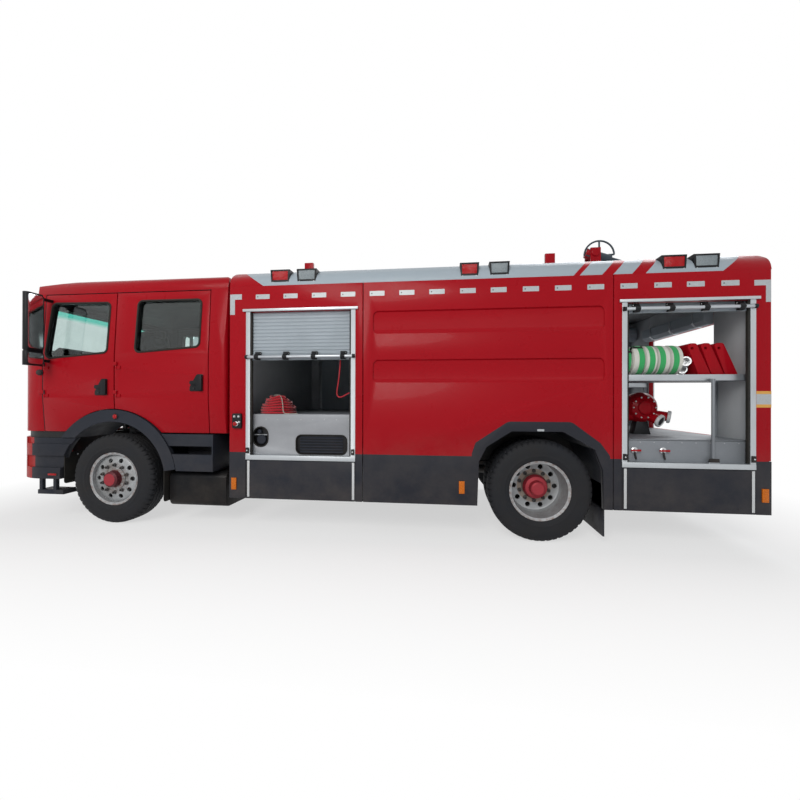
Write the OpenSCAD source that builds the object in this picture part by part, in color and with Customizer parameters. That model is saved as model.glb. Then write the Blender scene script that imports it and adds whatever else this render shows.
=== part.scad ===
// Fire engine with a crew cab, a water tank body and a roof monitor.
// Millimetres, +X to the front, +Y to the left, +Z up, the ground at z = 0.

/* [Vehicle] */
// distance between the axles
wheelbase = 4700; // [4500:10:5200]
// front axle to the front of the bumper
front_overhang = 1380; // [1360:10:1460]
// rear axle to the rear end
rear_overhang = 2050; // [2000:10:2300]
// width over the body sides
body_w = 2500; // [2460:10:2550]
// upper edge of the body sides
side_top = 2632; // [2560:2:2760]
// lower edge of the body skirts
skirt_z = 360; // [320:5:420]

/* [Wheels] */
// tyre outside diameter
tyre_d = 1020; // [980:2:1040]
// tyre width
tyre_w = 285; // [270:1:295]
// rim seat diameter
rim_d = 572; // [540:2:590]
// rim width between the flanges' outer faces
rim_w = 236; // [220:2:246]
// rim flange height above the seat
flange_h = 14; // [10:1:20]
// distance between the middles of twin tyres
twin_pitch = 330; // [320:1:350]
// distance between the middles of the outer rear tyres
rear_track = 2146; // [2120:2:2160]
// round holes in each wheel disc
hand_holes = 10; // [6:1:12]
// wheel spindle diameter
spindle_d = 90; // [70:2:110]

/* [Steering] */
// distance between the kingpins
kingpin_span = 1760; // [1740:5:1780]
// kingpin to the middle of the front tyre
kingpin_inset = 170; // [165:1:180]
// kingpin diameter
kingpin_d = 50; // [40:1:56]
// kingpin to the tie rod, along X
arm_len = 220; // [200:5:240]
// tie rod diameter
tie_rod_d = 36; // [28:1:44]

/* [Frame] */
// width over the two rails
rail_span = 850; // [820:2:870]
// rail height
rail_h = 260; // [240:2:280]
// rail flange width
rail_w = 70; // [60:1:80]
// rail plate thickness
rail_t = 8; // [6:1:12]
// upper face of the rails
rail_top = 960; // [950:2:975]
// axle tube diameter
axle_d = 150; // [130:2:160]

/* [Cab] */
// cab length
cab_len = 2670; // [2640:5:2700]
// cab side to the body side
cab_inset = 50; // [30:1:70]
// upper face of the cab roof
cab_top = 2810; // [2780:2:2860]
// lower edge of the cab sides
cab_low = 1045; // [1035:1:1070]
// wall and door thickness of the cab
cab_wall = 70; // [60:1:80]
// radius of the front corners in plan
cab_corner = 340; // [280:5:380]
// height of the crease under the windscreen
belt_z = 1880; // [1860:2:1900]
// lean of the windscreen from upright
screen_lean = 10; // [6:0.5:13]
// length of a front door
front_door_len = 900; // [880:2:910]
// cab front to the front doors
door_setback = 420; // [415:1:440]
// glass thickness
glass_t = 8; // [6:1:12]

/* [Body] */
// length of the front locker module
front_module = 1457; // [1430:5:1480]
// length of the rear module
rear_module = 1377; // [1340:5:1400]
// wall thickness of the body
wall = 60; // [50:1:66]
// clear height of the locker openings above the ground
locker_low = 825; // [815:1:840]
// upper edge of the locker openings
locker_top = 2357; // [2300:1:2380]
// line between the red sides and the grey skirts
skirt_line = 854; // [850:1:870]
// slope height of the roof edge above the sides
coaming_h = 188; // [160:2:210]
// slope width of the roof edge
coaming_w = 150; // [130:2:170]
// half width of the rear doorway
door_half = 666; // [600:2:680]

/* [Clearances] */
// gap between seated pieces
seat_gap = 0.3; // [0.2:0.1:0.5]
// radial gap of pins in their eyes
pin_gap = 0.3; // [0.1:0.1:0.5]
// gap round doors, lids and panels
panel_gap = 10; // [8:0.5:12]
// gap between the body modules
module_gap = 9; // [6:0.5:12]

/* [Hidden] */
$fn = 48;

// places along the vehicle
length = front_overhang + wheelbase + rear_overhang;
x_front = length / 2;
x_rear = -length / 2;
axle_f = x_front - front_overhang;
axle_r = axle_f - wheelbase;
axle_z = tyre_d / 2;

// wheels
rim_r = rim_d / 2;
flange_r = rim_r + flange_h;
rim_plate = 12;
disc_t = 14;
front_y = kingpin_span / 2 + kingpin_inset;
twin_y = rear_track / 2 - twin_pitch / 2;
hub_r = 130;
hub_bore = spindle_d / 2 + pin_gap;
hole_r = 26;
hole_ring = rim_r - 76;

// steering
king_y = kingpin_span / 2;
king_r = kingpin_d / 2;
eye_r = king_r + 30;
eye_h = 90;
ear_h = 44;
ear_gap = 5;
knuckle_y = king_y + eye_r + 5;
knuckle_t = 24;
spindle_end = front_y + 20;
tie_x = axle_f - arm_len;
tie_eye_h = 40;
tie_eye_r = 30;
tie_pin_r = 12;

// bumper and its lamps
bumper_t = 80;
bumper_corner = 460;
bumper_low = 495;
bumper_top = 970;
lamp_depth = 50;
head_y0 = body_w / 2 - 690;
head_y1 = body_w / 2 - 130;
// [lower edge, upper edge, depth] of the recesses in the bumper's sides
bumper_recess = [[626, 763, 34], [900, 971, 22]];
recess_front = x_front - 230;
head_z0 = 690;
head_z1 = 850;

// frame
rail_out = rail_span / 2;
rail_in = rail_out - rail_w;
rail_mid = rail_out - rail_w / 2;
rail_low = rail_top - rail_h;
rail_front = x_front - bumper_t;
rail_rear = x_rear + 85;
bearer_h = 70;
spring_t = 80;
spring_half_w = 40;
spring_z = rail_low - spring_t - 15;
gearbox_rear = axle_f - 1150;
shaft_z = axle_z + 250;
pinion_x = axle_r + 330;
tow_z = 650;
tow_r = 20;

// cab
cab_front = x_front - 85;
cab_rear = cab_front - cab_len;
cab_hw = body_w / 2 - cab_inset;
cab_rear_corner = 60;
arch_in = 655;
arch_out = 790;
floor_z = axle_z + arch_out + panel_gap;
floor_t = 70;
cab_rest = 5;
header_z = 2640;
door_x1 = cab_front - door_setback;
door_x2 = door_x1 - front_door_len;
door_x3 = door_x2 - panel_gap - 4;
door_x4 = cab_rear + 210;
door_top = header_z - panel_gap;
hinge_r = 9;
hinge_pin_r = 5;
hinge_y = cab_hw + hinge_r;
hinge_back = 25;
hinge_z = [1480, 1800];
leaf_h = 40;
tilt_x = cab_front - 35;
tilt_z = cab_low - 40;
tilt_r = 30;
tilt_pin = 14;
tilt_y = rail_mid + 24;
screen_half = cab_hw - 120;
grille_half = cab_hw - 350;
grille_d = 40;
grille_z0 = 1180;
grille_z1 = 1640;
dash_half = grille_half;
wheel_y = cab_hw - 640;
crease_z = 1430;
tuck = 30;
arch_swing = 2.5 * panel_gap;
cushion_z = floor_z + floor_t + 350;
// [lower edge, upper edge] of the steps under the rear doors
upper_step = [cab_low - 147, cab_low - 15];
lower_step = [cab_low - 423, cab_low - 239];

// body
body_hw = body_w / 2;
inner_y = body_hw - wall;
body_front = cab_rear - 75;
m1_rear = body_front - front_module;
m2_front = m1_rear - module_gap;
m3_front = x_rear + rear_module;
m2_rear = m3_front + module_gap;
rear_wall_x = x_rear + 65;
deck_top = rail_top + bearer_h + 10;
roof_t = 30;
roof_z = side_top - roof_t - 10;
tank_low = 1130;

// locker openings: [front edge, rear edge] of each clear opening
front_locker = [body_front - 184, m1_rear + 75];
rear_locker = [m3_front - 73, x_rear + 132];
post_w = 48;
sill_h = 50;
step_top = locker_low - sill_h - 8;
step_pin = 8;
step_y = body_hw - 14;
step_z = skirt_z + 14;
shelf_z = 1230;
slat_h = 40;
curtain_y = body_hw - 48;
roll_y = inner_y - 130;
roll_d = 300;
rolls = 5;
roll_w = 105;
roll_pitch = 118;
ramp_w = 112;
ramp_h = 308;
ramp_lean = 108;
ramp_pitch = 120;
monitor_x = m3_front - 250;
monitor_z = roof_z + 308;
tilt_axis_z = monitor_z + 370;
spigot_r = 40;
barrel_droop = 19;
guard_r = 180;
// rear shelf and its inner edge
rear_shelf = [1610, 1668];
shelf_y = 700;
doorway_top = 2249;
// lower edges and height of the pressed fields in the tank's sides
field_z = [2094, 1590];
field_h = 242;
// pump outlets
outlet_y = [-330, -110, 110, 330];
outlet_r = 48;
outlet_len = 170;

function xy(p) = [p[0], p[1]];
function unit(v) = v / norm(v);
function turn(a) = a > 180 ? a - 360 : (a < -180 ? a + 360 : a);

// points of an arc about c
function arc(c, r, a0, a1, n) =
    [for (i = [0 : n]) c + r * [cos(a0 + (a1 - a0) * i / n), sin(a0 + (a1 - a0) * i / n)]];

// corner q between p and s, rounded with n flats
function corner(p, q, s, n) =
    let (
        u = unit(xy(p) - xy(q)),
        v = unit(xy(s) - xy(q)),
        half = acos(u * v) / 2,
        r = q[2],
        c = xy(q) + unit(u + v) * r / sin(half),
        t0 = xy(q) + u * r / tan(half) - c,
        t1 = xy(q) + v * r / tan(half) - c,
        a0 = atan2(t0[1], t0[0])
    )
    r == 0 ? [xy(q)] : arc(c, r, a0, a0 + turn(atan2(t1[1], t1[0]) - a0), n);

// outline through [x, y, corner radius] points
function rounded(pts, n = 5) =
    [for (i = [0 : len(pts) - 1])
        each corner(pts[(i + len(pts) - 1) % len(pts)], pts[i], pts[(i + 1) % len(pts)], n)];

// rectangle [x0, x1, y0, y1] with round corners
function round_rect(x0, x1, y0, y1, r) =
    rounded([[x0, y0, r], [x1, y0, r], [x1, y1, r], [x0, y1, r]]);

module box(x0, x1, y0, y1, z0, z1) {
    translate([x0, y0, z0])
        cube([x1 - x0, y1 - y0, z1 - z0]);
}

// an outline in X and Z, drawn out from y0 to y1
module across(pts, y0, y1) {
    translate([0, y1, 0])
        rotate([90, 0, 0])
            linear_extrude(y1 - y0)
                polygon(pts);
}

// an outline in Y and Z, drawn out from x0 to x1
module along(pts, x0, x1) {
    translate([x0, 0, 0])
        rotate([90, 0, 90])
            linear_extrude(x1 - x0)
                polygon(pts);
}

// an outline in X and Y, drawn out from z0 to z1
module upright(pts, z0, z1) {
    translate([0, 0, z0])
        linear_extrude(z1 - z0)
            polygon(pts);
}

module rod_x(x0, x1, y, z, r) {
    translate([x0, y, z])
        rotate([0, 90, 0])
            cylinder(h = x1 - x0, r = r);
}

module rod_y(x, z, y0, y1, r) {
    translate([x, y1, z])
        rotate([90, 0, 0])
            cylinder(h = y1 - y0, r = r);
}

module rod_z(x, y, z0, z1, r) {
    translate([x, y, z0])
        cylinder(h = z1 - z0, r = r);
}

// room for the front wheel with its guard, a disc across the vehicle
module wheel_room(r, y0, y1) {
    across(arc([axle_f, axle_z], r, 0, 355, 71), y0, y1);
}

// the left piece or its mirror image
module on_side(side) {
    mirror([0, side < 0 ? 1 : 0, 0])
        children();
}

module both_sides() {
    on_side(1)
        children();
    on_side(-1)
        children();
}

// local z points out of the vehicle at the left wheel
module wheel_place(x, y) {
    translate([x, y, axle_z])
        rotate([-90, 0, 0])
            children();
}

// Wheels

// half section of a tyre, [radius, offset from the middle plane]
function tyre_half() =
    let (r = tyre_d / 2, h = tyre_w / 2, b = rim_w / 2)
    [
        [rim_r + seat_gap, b - 14 - seat_gap],
        [flange_r + seat_gap, b - 8 - seat_gap],
        [flange_r + seat_gap, b],
        [flange_r + 24, h - 9],
        [(flange_r + r) / 2, h],
        [r - 48, h - 7],
        [r - 20, h - 22],
        [r - 6, h - 44],
        [r, h - 84]
    ];

module tyre(mid) {
    half = tyre_half();
    n = len(half);
    outline = concat(half, [for (i = [n - 1 : -1 : 0]) [half[i][0], -half[i][1]]]);
    translate([0, 0, mid])
        rotate_extrude($fn = 96)
            polygon(outline);
}

module rim_barrel(mid) {
    b = rim_w / 2;
    translate([0, 0, mid])
        rotate_extrude($fn = 96)
            polygon([
                [rim_r - rim_plate, 8 - b], [flange_r, -b], [flange_r, 8 - b], [rim_r, 14 - b],
                [rim_r, b - 14], [flange_r, b - 8], [flange_r, b], [rim_r - rim_plate, b - 8]
            ]);
}

module hand_hole_ring(z0, z1) {
    for (i = [0 : hand_holes - 1])
        rotate([0, 0, i * 360 / hand_holes])
            translate([hole_ring, 0, z0])
                cylinder(h = z1 - z0, r = hole_r, $fn = 24);
}

// dished disc and hub of a front wheel
module front_rim() {
    face = 96;
    cap = rim_w / 2 + 60;
    drum_r = 200;
    bore_end = spindle_end - front_y + 5;
    difference() {
        union() {
            rim_barrel(0);
            difference() {
                rotate_extrude($fn = 96)
                    polygon([
                        [rim_r - 2, 40], [rim_r - 2, 60], [rim_r - 40, 80], [170, face], [hub_r - 5, face],
                        [hub_r - 5, face - disc_t], [170, face - disc_t], [rim_r - 44, 62]
                    ]);
                hand_hole_ring(20, face + 20);
            }
            rotate_extrude($fn = 96)
                polygon([
                    [0, cap], [68, cap], [86, cap - 16], [92, face + 14], [hub_r, face + 10],
                    [hub_r, 40], [drum_r, 30], [drum_r, -76], [0, -76]
                ]);
        }
        translate([0, 0, -80])
            cylinder(h = bore_end + 80, r = hub_bore);
    }
}

// two rims back to back with their discs on one hub
module twin_rims() {
    drum_r = 200;
    edge = twin_pitch / 2 - rim_w / 2;
    difference() {
        union() {
            for (s = [-1, 1])
                mirror([0, 0, s < 0 ? 1 : 0]) {
                    rim_barrel(twin_pitch / 2);
                    difference() {
                        rotate_extrude($fn = 96)
                            polygon([
                                [rim_r - 2, edge + 12], [rim_r - 2, edge + 34], [rim_r - 30, disc_t + 4],
                                [rim_r - 40, disc_t], [hub_r - 5, disc_t], [hub_r - 5, 0], [rim_r - 24, 0]
                            ]);
                        hand_hole_ring(-5, disc_t + 12);
                    }
                }
            rotate_extrude($fn = 96)
                polygon([
                    [0, 215], [56, 215], [70, 205], [78, 130], [hub_r - 20, 122], [hub_r, 60],
                    [hub_r, -6], [drum_r - 12, -6], [drum_r - 12, -225], [0, -225]
                ]);
        }
        translate([0, 0, -230])
            cylinder(h = 330, r = hub_bore);
    }
}

module front_tyre(side) {
    color("#262626")
        on_side(side)
            wheel_place(axle_f, front_y)
                tyre(0);
}

module rear_tyres(side) {
    color("#262626")
        on_side(side)
            wheel_place(axle_r, twin_y) {
                tyre(twin_pitch / 2);
                tyre(-twin_pitch / 2);
            }
}

module front_wheel_rim(side) {
    color("#c9ccd0")
        on_side(side)
            wheel_place(axle_f, front_y)
                front_rim();
}

module rear_wheel_rims(side) {
    color("#c9ccd0")
        on_side(side)
            wheel_place(axle_r, twin_y)
                twin_rims();
}

// Steering

module knuckle(side) {
    ear_low = axle_z - eye_h / 2 - ear_gap - ear_h;
    ear_high = axle_z + eye_h / 2 + ear_gap;
    color("#4b4d50")
        on_side(side) {
            difference() {
                union() {
                    for (z = [ear_low, ear_high]) {
                        rod_z(axle_f, king_y, z, z + ear_h, eye_r);
                        box(axle_f - 44, axle_f + 44, king_y, knuckle_y + knuckle_t, z, z + ear_h);
                    }
                    box(axle_f - 70, axle_f + 70, knuckle_y, knuckle_y + knuckle_t, ear_low, ear_high + ear_h);
                    box(tie_x, axle_f - 30, king_y - 25, king_y + 25, ear_low, ear_low + 26);
                    rod_z(tie_x, king_y, ear_low, ear_low + 26, 32);
                }
            }
            rod_z(axle_f, king_y, ear_low + 1, ear_high + 1, king_r);
            rod_y(axle_f, axle_z, knuckle_y + knuckle_t - 1, spindle_end, spindle_d / 2);
            rod_z(tie_x, king_y, ear_low - tie_eye_h - 5, ear_low + 1, tie_pin_r);
        }
}

module tie_rod() {
    top = axle_z - eye_h / 2 - ear_gap - ear_h - 2;
    color("#4b4d50")
        difference() {
            union() {
                rod_y(tie_x, top - tie_eye_h / 2, -king_y, king_y, tie_rod_d / 2);
                for (s = [-1, 1])
                    rod_z(tie_x, s * king_y, top - tie_eye_h, top, tie_eye_r);
            }
            for (s = [-1, 1])
                rod_z(tie_x, s * king_y, top - tie_eye_h - 1, top + 1, tie_pin_r + pin_gap);
        }
}

module front_axle() {
    low = axle_z - eye_h / 2;
    high = axle_z + eye_h / 2;
    drop = 35;
    bend = king_y - 120;
    flat = bend - 160;
    color("#4b4d50")
        difference() {
            union() {
                along([
                    [-king_y, low], [-bend, low], [-flat, low - drop], [flat, low - drop], [bend, low],
                    [king_y, low], [king_y, high], [bend, high], [flat, high - drop], [-flat, high - drop],
                    [-bend, high], [-king_y, high]
                ], axle_f - 42, axle_f + 42);
                both_sides() {
                    rod_z(axle_f, king_y, low, high, eye_r);
                    box(axle_f - 90, axle_f + 90, rail_mid - 45, rail_mid + 45, high - drop - 5, spring_z);
                }
            }
            both_sides()
                rod_z(axle_f, king_y, low - 1, high + 1, king_r + pin_gap);
        }
}

// Chassis

module frame_rails() {
    channel = [
        [rail_out, rail_low], [rail_out, rail_top], [rail_in, rail_top], [rail_in, rail_top - rail_t],
        [rail_out - rail_t, rail_top - rail_t], [rail_out - rail_t, rail_low + rail_t],
        [rail_in, rail_low + rail_t], [rail_in, rail_low]
    ];
    both_sides()
        along(channel, rail_rear, rail_front);
}

// crossmembers, body bearers, cab supports and the rear tow jaw, each bolted to the rails
module crossmembers() {
    reach = rail_out - rail_t - seat_gap;
    on_rail = rail_top + seat_gap;
    // middle of each crossmember between the rails
    ties = [rail_front - 60, cab_rear - 40, m1_rear + 400, m1_rear - 700, axle_r + 420, axle_r - 640, rail_rear + 60];
    // middle of each bearer under the front and rear modules
    bearers = [body_front - 120, body_front - 720, m1_rear + 120, m3_front - 120, m3_front - 660, rear_wall_x + wall + 60];
    for (x = ties)
        box(x - 45, x + 45, -reach, reach, rail_top - 130, rail_top - 20);
    for (x = bearers)
        box(x - 40, x + 40, 20 - inner_y, inner_y - 20, on_rail, rail_top + bearer_h);
    both_sides() {
        box(m2_rear + 60, m2_front - 60, rail_in, rail_out, on_rail, tank_low);
        box(cab_rear + 90, cab_rear + 190, rail_in, rail_out, on_rail, floor_z - cab_rest);
        across([
            [tilt_x - 35, on_rail], [tilt_x + 20, on_rail], [tilt_x + 20, tilt_z + 16],
            [tilt_x - 20, tilt_z + 16], [tilt_x - 35, tilt_z]
        ], rail_mid - 18, rail_mid + 18);
        rod_y(tilt_x, tilt_z, rail_mid + 17, tilt_y + 40, tilt_pin);
    }
    difference() {
        union() {
            box(rail_rear - 25, rail_rear - seat_gap, -rail_out, rail_out, tow_z - 90, rail_top - 20);
            for (z = [tow_z - 50, tow_z + 25])
                box(x_rear + 2, rail_rear - 24, -55, 55, z, z + 25);
        }
        rod_z(x_rear + 32, 0, tow_z - 60, tow_z + 60, tow_r);
    }
}

module chassis_frame() {
    color("#3a3c3f") {
        frame_rails();
        crossmembers();
    }
}

module engine() {
    front = axle_f + 560;
    rear = axle_f - 620;
    half = rail_in - 45;
    low = axle_z + 120;
    color("#55585c") {
        along([
            [-half, rail_low + 60], [-half * 0.5, low], [half * 0.5, low], [half, rail_low + 60],
            [half, floor_z - 160], [half - 110, floor_z - 40], [110 - half, floor_z - 40], [-half, floor_z - 160]
        ], rear, front);
        along(round_rect(-210, 210, low, rail_top + 20, 80), gearbox_rear, rear + 1);
        both_sides()
            for (x = [rear + 140, front - 200])
                box(x, x + 90, half - 20, rail_out - rail_t, rail_low + 90, rail_low + 150);
    }
}

module rear_axle() {
    tube_end = twin_y - 245;
    color("#4b4d50") {
        rod_y(axle_r, axle_z, -tube_end, tube_end, axle_d / 2);
        rod_y(axle_r, axle_z, -(twin_y + 95), twin_y + 95, spindle_d / 2);
        rod_x(axle_r - 130, axle_r + 130, 0, axle_z, 195);
        rod_x(axle_r + 120, pinion_x, 0, axle_z, 85);
        both_sides()
            box(axle_r - 90, axle_r + 90, rail_mid - 45, rail_mid + 45, axle_z, spring_z);
    }
}

module leaf_springs() {
    // half length of each leaf, from the axle up
    leaves = [320, 460, 580, 700];
    leaf_t = spring_t / len(leaves);
    eye = leaves[3] - 20;
    color("#333538")
        for (x = [axle_f, axle_r])
            both_sides() {
                for (i = [0 : len(leaves) - 1])
                    box(x - leaves[i], x + leaves[i], rail_mid - spring_half_w, rail_mid + spring_half_w,
                        spring_z + i * leaf_t, spring_z + (i + 1) * leaf_t);
                for (s = [-1, 1])
                    box(x + s * eye - 20, x + s * eye + 20, rail_mid - 30, rail_mid + 30,
                        spring_z + spring_t - 1, rail_low);
            }
}

module propshaft() {
    flange = 36;
    p0 = [gearbox_rear - flange / 2, shaft_z];
    p1 = [pinion_x + flange / 2, axle_z];
    d = p1 - p0;
    color("#6a6d70") {
        rod_x(gearbox_rear - flange, gearbox_rear, 0, shaft_z, 75);
        rod_x(pinion_x, pinion_x + flange, 0, axle_z, 75);
        translate([p0[0], 0, p0[1]])
            rotate([0, atan2(d[0], d[1]), 0])
                cylinder(h = norm(d), r = 50);
    }
}

module side_tanks() {
    y0 = rail_out + 215;
    y1 = cab_hw - 80;
    z1 = lower_step[0] - 22;
    z0 = z1 - 385;
    x0 = cab_rear + 40;
    x1 = axle_f - arch_in - 5;
    color("#2b2d30")
        both_sides() {
            along(round_rect(y0, y1, z0, z1, 70), x0, x1);
            for (x = [x0 + 90, x1 - 130])
                along([
                    [rail_out, rail_low + 30], [rail_out, rail_top - 60], [y0 + 80, z1 - 1], [y0 + 1, z1 - 71],
                    [y0 + 1, z1 - 130]
                ], x, x + 40);
        }
}

function bumper_plan(i) =
    rounded([
        [axle_f + 200, i - cab_hw, 0], [x_front - i, i - cab_hw, bumper_corner - i],
        [x_front - i, cab_hw - i, bumper_corner - i], [axle_f + 200, cab_hw - i, 0]
    ], 10);

// wrap-round band of the bumper between two heights, depth d from its skin
module bumper_band(d, z0, z1) {
    difference() {
        upright(bumper_plan(0), z0, z1);
        upright(bumper_plan(d), z0 - 1, z1 + 1);
    }
}

// space of a headlamp in the left corner, grown by g
module lamp_space(g) {
    intersection() {
        bumper_band(lamp_depth + g, head_z0 - g, head_z1 + g);
        box(axle_f, x_front + 1, head_y0 - g, head_y1 + g, head_z0 - g, head_z1 + g);
    }
}

module front_bumper() {
    color("#9d2226")
        difference() {
            union() {
                bumper_band(bumper_t, bumper_low, bumper_top);
                both_sides() {
                    box(rail_front, x_front - bumper_t + 1, rail_in, rail_out, rail_low + 40, rail_top - 40);
                    box(axle_f + 560, axle_f + 960, cab_hw - 190, cab_hw - 20, bumper_low - 180, bumper_low - 130);
                    for (x = [axle_f + 720, axle_f + 900])
                        box(x, x + 40, cab_hw - 60, cab_hw - 20, bumper_low - 140, bumper_low + 1);
                }
            }
            both_sides() {
                lamp_space(seat_gap);
                wheel_room(arch_in, cab_hw - 500, cab_hw + 10);
                for (r = bumper_recess)
                    intersection() {
                        bumper_band(r[2], r[0], r[1]);
                        box(axle_f, recess_front, head_y1 + 5, cab_hw + 1, r[0], r[1]);
                    }
            }
        }
}

module cab_steps() {
    x0 = cab_rear + 160;
    x1 = axle_f - arch_in + 100;
    back = cab_hw - 330;
    color("#2b2d30")
        both_sides()
            difference() {
                union() {
                    box(x0, x1, back, cab_hw - 10, upper_step[0], upper_step[1]);
                    box(x0, x1, back, cab_hw, lower_step[0], lower_step[1]);
                    box(x0, x1, back, back + 24, lower_step[0], upper_step[1]);
                    box(x0 - 14, x0 + 1, back, cab_hw + 4, lower_step[0], upper_step[1]);
                    for (x = [x0 + 60, x1 - 340])
                        box(x, x + 60, rail_out, back + 1, rail_low + 60, rail_low + 110);
                }
                wheel_room(arch_out + 5, back - 10, cab_hw + 10);
                for (s = [upper_step, lower_step])
                    box(x0 + 40, x1, back + 60, cab_hw - 60, s[0] + 20, s[1] + 60);
            }
}

// sector of a ring about the front axle, from the angle a0 to a1
function ring_sector(r0, r1, a0, a1, n) =
    concat(arc([axle_f, axle_z], r1, a0, a1, n), arc([axle_f, axle_z], r0, a1, a0, n));

module mudguards() {
    front_a = asin((bumper_top + 5 - axle_z) / arch_out);
    rear_a = 180 - asin((lower_step[0] + 18 - axle_z) / arch_out);
    color("#2b2d30")
        both_sides() {
            difference() {
                union() {
                    across(ring_sector(arch_in, arch_out, front_a, rear_a, 24), cab_hw - 55, cab_hw);
                    across(ring_sector(arch_in, arch_in + 14, front_a, rear_a, 24), rail_out + 260, cab_hw - 54);
                }
                box(axle_f, x_front, rail_out, cab_hw + 1, 0, bumper_top + 5);
            }
            along([
                [rail_out, rail_top - 120], [rail_out, rail_top - 20], [rail_out + 290, axle_z + arch_in + 60],
                [rail_out + 330, axle_z + arch_in + 7], [rail_out + 262, axle_z + arch_in + 7]
            ], axle_f - 25, axle_f + 25);
            // rear wheel tunnel between the tank and the tyres
            difference() {
                across(rear_arch(14, skirt_z + 240), rail_out + 60, inner_y);
                across(rear_arch(0, skirt_z + 200), rail_out + 59, inner_y + 1);
            }
            // rear flap
            box(axle_r - 614, axle_r - 599, rail_out + 140, inner_y - 10, 80, skirt_z + 300);
        }
}

// Cab

function cab_plan(i, rear, rear_r) =
    rounded([
        [rear + i, i - cab_hw, rear_r], [cab_front - i, i - cab_hw, cab_corner - i],
        [cab_front - i, cab_hw - i, cab_corner - i], [rear + i, cab_hw - i, rear_r]
    ], 8);

// x of the leaning front, 2 outside the skin that is inset by i
function lean_x(i, z) = cab_front - i + 2 - (z - belt_z) * tan(screen_lean);

function cab_side(i, z0) =
    rounded([
        [cab_rear + i - 1, z0, 0], [lean_x(i, z0), z0, i == 0 ? 110 : 0],
        [lean_x(i, cab_top - 85), cab_top - 85 - i, 150],
        [cab_front - 800, cab_top - 6 - i, 800], [cab_rear + i - 1, cab_top - i, 90]
    ], 6);

function cab_section(i, z0) =
    rounded([
        [tuck + i - cab_hw, z0, 0], [cab_hw - tuck - i, z0, 0], [cab_hw - i, crease_z, 120], [cab_hw - i, belt_z + 40, 300],
        [cab_hw - 56 - i, cab_top - i, 130], [56 + i - cab_hw, cab_top - i, 130], [i - cab_hw, belt_z + 40, 300],
        [i - cab_hw, crease_z, 120]
    ], 6);

// solid inside the skin that is inset by i, from z0 up
module cab_envelope(i, z0) {
    intersection() {
        upright(cab_plan(i, cab_rear, cab_rear_corner), z0, cab_top + 1);
        across(cab_side(i, z0), -cab_hw - 1, cab_hw + 1);
        along(cab_section(i, z0), cab_rear - 1, cab_front + 1);
        union() {
            box(cab_rear - 1, cab_front + 1, -cab_hw - 1, cab_hw + 1, z0, belt_z);
            translate([cab_front - i, 0, belt_z])
                rotate([0, -screen_lean, 0])
                    translate([i - cab_front, 0, 0])
                        upright(cab_plan(i, cab_rear - 900, 0), -150, cab_top);
        }
    }
}

module cab_skin(i0, i1) {
    difference() {
        cab_envelope(i0, cab_low);
        cab_envelope(i1, cab_low - 5);
    }
}

// [x, z, corner radius] outlines of the side windows
function front_window() =
    rounded([
        [door_x1 - 93, belt_z + 650, 50], [door_x2 + 76, belt_z + 640, 50],
        [door_x2 + 91, belt_z + 73, 50], [door_x1 - 28, belt_z + 12, 60]
    ]);

function rear_window() =
    rounded([
        [door_x3 - 267, belt_z + 650, 50], [door_x4 + 102, belt_z + 648, 50],
        [door_x4 + 111, belt_z + 126, 50], [door_x3 - 248, belt_z + 69, 50]
    ]);

module cab_floor() {
    inset = cab_wall + panel_gap;
    color("#3b3d40") {
        intersection() {
            upright(cab_plan(cab_wall + seat_gap, cab_rear, cab_rear_corner), floor_z, floor_z + floor_t);
            box(cab_rear, cab_front, inset + tuck - cab_hw, cab_hw - inset - tuck, floor_z, floor_z + floor_t);
        }
        both_sides() {
            // pillar between the doors, with the leaves of the rear door's hinges
            intersection() {
                cab_skin(inset, inset + 60);
                box(door_x3 - 60, door_x2 + 60, 0, cab_hw, floor_z + floor_t + seat_gap, header_z);
            }
            for (z = hinge_z) {
                box(door_x3 + 0.5, door_x3 + 4, cab_hw - inset - 1, hinge_y + hinge_r, z, z + leaf_h);
                box(door_x3 - hinge_back, door_x3 + 4, hinge_y - 6, hinge_y + hinge_r, z, z + leaf_h);
                rod_z(door_x3 - hinge_back, hinge_y, z, z + leaf_h, hinge_r);
                rod_z(door_x3 - hinge_back, hinge_y, z - leaf_h, z + 1, hinge_pin_r);
            }
            // tilt arms
            difference() {
                across([
                    [tilt_x - 100, tilt_z - tilt_r + 8], [tilt_x, tilt_z - tilt_r], [tilt_x + tilt_r - 6, tilt_z],
                    [tilt_x, cab_low - 8], [cab_front - cab_wall - 6, cab_low - 8],
                    [cab_front - cab_wall - 6, floor_z - seat_gap], [cab_front - cab_wall - 120, floor_z - seat_gap]
                ], tilt_y, tilt_y + 40);
                rod_y(tilt_x, tilt_z, tilt_y - 1, tilt_y + 41, tilt_pin + pin_gap);
            }
        }
    }
}

module cab_back() {
    color("#b3161b")
        intersection() {
            cab_skin(0, cab_wall);
            box(cab_rear - 1, door_x4 - panel_gap, -cab_hw - 1, cab_hw + 1, cab_low - 1, header_z);
        }
}

module screen_space(g) {
    box(door_x1, cab_front + 1, g - screen_half, screen_half - g, belt_z + 55 + g, header_z - 80 - g);
}

module cab_front() {
    color("#b3161b") {
        difference() {
            intersection() {
                cab_skin(0, cab_wall);
                box(door_x1 + panel_gap, cab_front + 1, -cab_hw - 1, cab_hw + 1, cab_low - 1, header_z);
            }
            screen_space(0);
            box(cab_front - grille_d, cab_front + 1, -grille_half, grille_half, grille_z0, grille_z1);
        }
        both_sides()
            for (z = hinge_z) {
                box(door_x1 - hinge_back, door_x1 + 45, hinge_y - 6, hinge_y + hinge_r, z, z + leaf_h);
                box(door_x1 + panel_gap, door_x1 + 45, cab_hw - 1, hinge_y, z, z + leaf_h);
                rod_z(door_x1 - hinge_back, hinge_y, z - leaf_h, z + 1, hinge_pin_r);
            }
    }
}

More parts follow.
